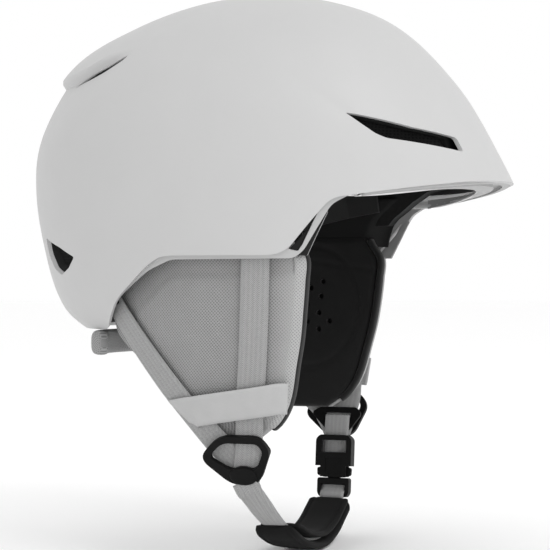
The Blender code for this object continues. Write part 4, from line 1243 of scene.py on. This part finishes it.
def sewn_section(width, low, high, fold):
    """Chin pad's section with a stitched groove along each edge on the side that fold points to."""
    points = []
    for a, b in pillow_section(width, low, high, 56, 3.6):
        groove = exp(-((abs(a) - width / 2 + 3.2) / 0.7) ** 2)
        shown = (b - (low + high) / 2) * fold > 0
        points.append((a, b - fold * 0.7 * groove if shown else b))
    return points


def build_chin_loop():
    half = WEB_THICK / 2
    section = strap_section(WEB, WEB_THICK)
    at = local_frame(BUCKLE_AT, BUCKLE_LEAN)
    points = [Vector((-72.2, -6.5, -228.2))]
    points += [Vector((p.x, -p.y, p.z)) for p in (route_point(k / 14) for k in range(14))]
    points += [at @ (Vector((0, up, out)) * MM) / MM
               for up, out in ((-19.5, -1.2), (-17.6, -4.3), (-14.8, -4.4), (-12.4, -1.4), (-9.6, 0.4))]
    centres = smooth_path(points, 5)
    strap = sweep("chin_web_long", centres, [Vector((0, -1, 0))] * len(centres),
                  strap_section(WEB - 0.4, WEB_THICK))
    stand_in(strap, "web", "chin_strap_long")
    outer = chin_sweep("chin_cover", *OUTER_CHIN_PAD, 60,
                       sewn_section(CHIN_PAD_WIDTH, -half - GAP - CHIN_PAD_THICK - 0.8, -half - GAP, -1),
                       pad_taper)
    inner = chin_sweep("chin_cushion", *INNER_CHIN_PAD, 60,
                       sewn_section(CHIN_PAD_WIDTH, half + GAP, half + GAP + CHIN_PAD_THICK, 1), pad_taper)
    for pad, node in ((outer, "chin_pad_outer"), (inner, "chin_pad_inner")):
        stand_in(pad, "chin", node)
    x, forward, up = LEFT_PIVOT
    at_bar = [at @ (Vector((0, u, 1.3)) * MM) / MM for u in (19, 8.6)]
    short = smooth_path([Vector((x - 0.3, -forward, up - 1)), Vector((x - 1.8, -forward, up - 6)),
                         *at_bar], 6)
    made = sweep("chin_web_short", short, [Vector((0, -1, 0))] * len(short), section)
    stand_in(made, "web", "chin_strap_short")


def build_socket():
    at = local_frame(BUCKLE_AT, BUCKLE_LEAN)
    half, thick = SOCKET_HALF
    low, high = SOCKET_SPAN
    body = [(-half + 0.6, low), (half - 0.6, low), (half, low + 2), (half, high - 2.5), (half - 2.5, high),
            (-half + 2.5, high), (-half, high - 2.5), (-half, low + 2)]
    socket = prism("buckle_body", rounded(body, 1.4, 4), -thick, thick, at)
    cuts = [((-7.8, 9.5, -9), (7.8, 16.8, 9)), ((-7.8, 15, 0.2), (7.8, 25, 9)),
            ((-8.5, low - 1, -2.5), (8.5, 7.4, 2.5)), ((7.9, low - 1, -9), (half + 1, 1.5, 9)),
            ((-half - 1, low - 1, -9), (-7.9, 1.5, 9)), ((-1, -2, 3.4), (1, 6, 9)),
            ((-5, -3.5, -9), (5, 6, -3.5))]
    carve(socket, [block(f"socket_cut_{k}", a, b, at) for k, (a, b) in enumerate(cuts)], 35)
    stand_in(round_edges(socket, 0.5, 3, 40), "clip", "buckle_socket")


def build_plug():
    at = local_frame(BUCKLE_AT, BUCKLE_LEAN)
    low, high = PLUG_SPAN
    base = [(-8.3, low), (8.3, low), (9.8, low + 2.5), (9.8, high), (-9.8, high), (-9.8, low + 2.5)]
    plug = prism("buckle_tail", rounded(base, 1.5, 4), -3.2, 3.2, at)
    window = block("tail_window", (-7.4, low + 3.2, -9), (7.4, high - 4, 9), at)
    tongue = block("tail_tongue", (-3.3, high - 2, -2.2), (3.3, 6, 2.2), at)
    boolean(plug, [window])
    boolean(plug, [tongue], "UNION")
    settle(plug, 35)
    discard((window, tongue))
    stand_in(round_edges(plug, 0.5, 3, 40), "clip", "buckle_plug")
    for word, side in (("front", 1), ("rear", -1)):
        arm = [(3.7, high + GAP), (6.4, high + GAP), (10.4, -4), (10.6, 0.2), (7.5, 1.2), (6.2, 5.6),
               (4, 6)]
        prong = prism(f"buckle_arm_{word}", rounded([(side * a, b) for a, b in arm], 0.9, 4), -1.3, 1.3, at)
        stand_in(round_edges(prong, 0.3, 2), "clip", f"buckle_prong_{word}")


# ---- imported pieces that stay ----
def paint_packed():
    """Packed hard pieces keep their shape and get the detailed materials."""
    kinds = {"dial_housing": "fit", "rack_tail": "fit", "fit_band": "fit", "dial_pinion": "clip",
             "pad_snap": "steel", "strap_anchor": "clip"}
    for name, obj in frame["nodes"].items():
        for start, kind in kinds.items():
            if name.startswith(start):
                for slot in obj.material_slots:
                    slot.material = MATERIALS[kind][0]


# ---- stage and camera ----
def build_stage():
    """Wide pale floor just under the chin loop."""
    bm = bmesh.new()
    bmesh.ops.create_circle(bm, cap_ends=True, segments=64, radius=9)
    floor = to_object("floor", bm)
    floor.location.z = cad_low.z - 1 * MM
    mat, _, shader = new_material("floor_paint", 0.9)
    shader.inputs["Base Color"].default_value = (0.985, 0.985, 0.985, 1)
    floor.data.materials.append(mat)


def area_light(name, place, size, watts):
    data = bpy.data.lights.new(name, "AREA")
    data.shape = "DISK"
    data.size = size
    data.energy = watts
    lamp = bpy.data.objects.new(name, data)
    bpy.context.scene.collection.objects.link(lamp)
    lamp.location = place
    aim = Vector((0, 0, -0.12)) - Vector(place)
    lamp.rotation_euler = aim.to_track_quat("-Z", "Y").to_euler()


def build_light():
    world = bpy.data.worlds.new("studio")
    bpy.context.scene.world = world
    world.use_nodes = True
    world.node_tree.nodes["Background"].inputs["Color"].default_value = (1, 1, 1, 1)
    world.node_tree.nodes["Background"].inputs["Strength"].default_value = 1
    area_light("key", (-0.7, -1.4, 1.4), 1, 9)
    area_light("fill", (-0.9, -1.05, -0.50), 0.7, 16)
    bpy.context.scene.view_settings.view_transform = "Standard"


def build_camera():
    data = bpy.data.cameras.new("camera")
    data.lens = 109
    data.sensor_width = 36
    camera = bpy.data.objects.new("camera", data)
    bpy.context.scene.collection.objects.link(camera)
    camera.location = (-0.8997, -0.2923, -0.120)
    camera.rotation_euler = (radians(90), 0, radians(-72))
    bpy.context.scene.camera = camera


# ---- build ----
for build in (build_camera, build_stage, build_light, build_shell, build_foam, build_brim, build_brim_wall,
              build_brow_wrap, build_pads, build_dial, build_neck_roll, build_chin_loop, build_socket,
              build_plug):
    build()
for side in (-1, 1):
    for build in (build_screens, build_edge_trim, build_gap_floor, build_ear_outer, build_ear_lining,
                  build_ear_edge, build_skirt, build_harness, build_pad_band, build_divider):
        build(side)
paint_packed()
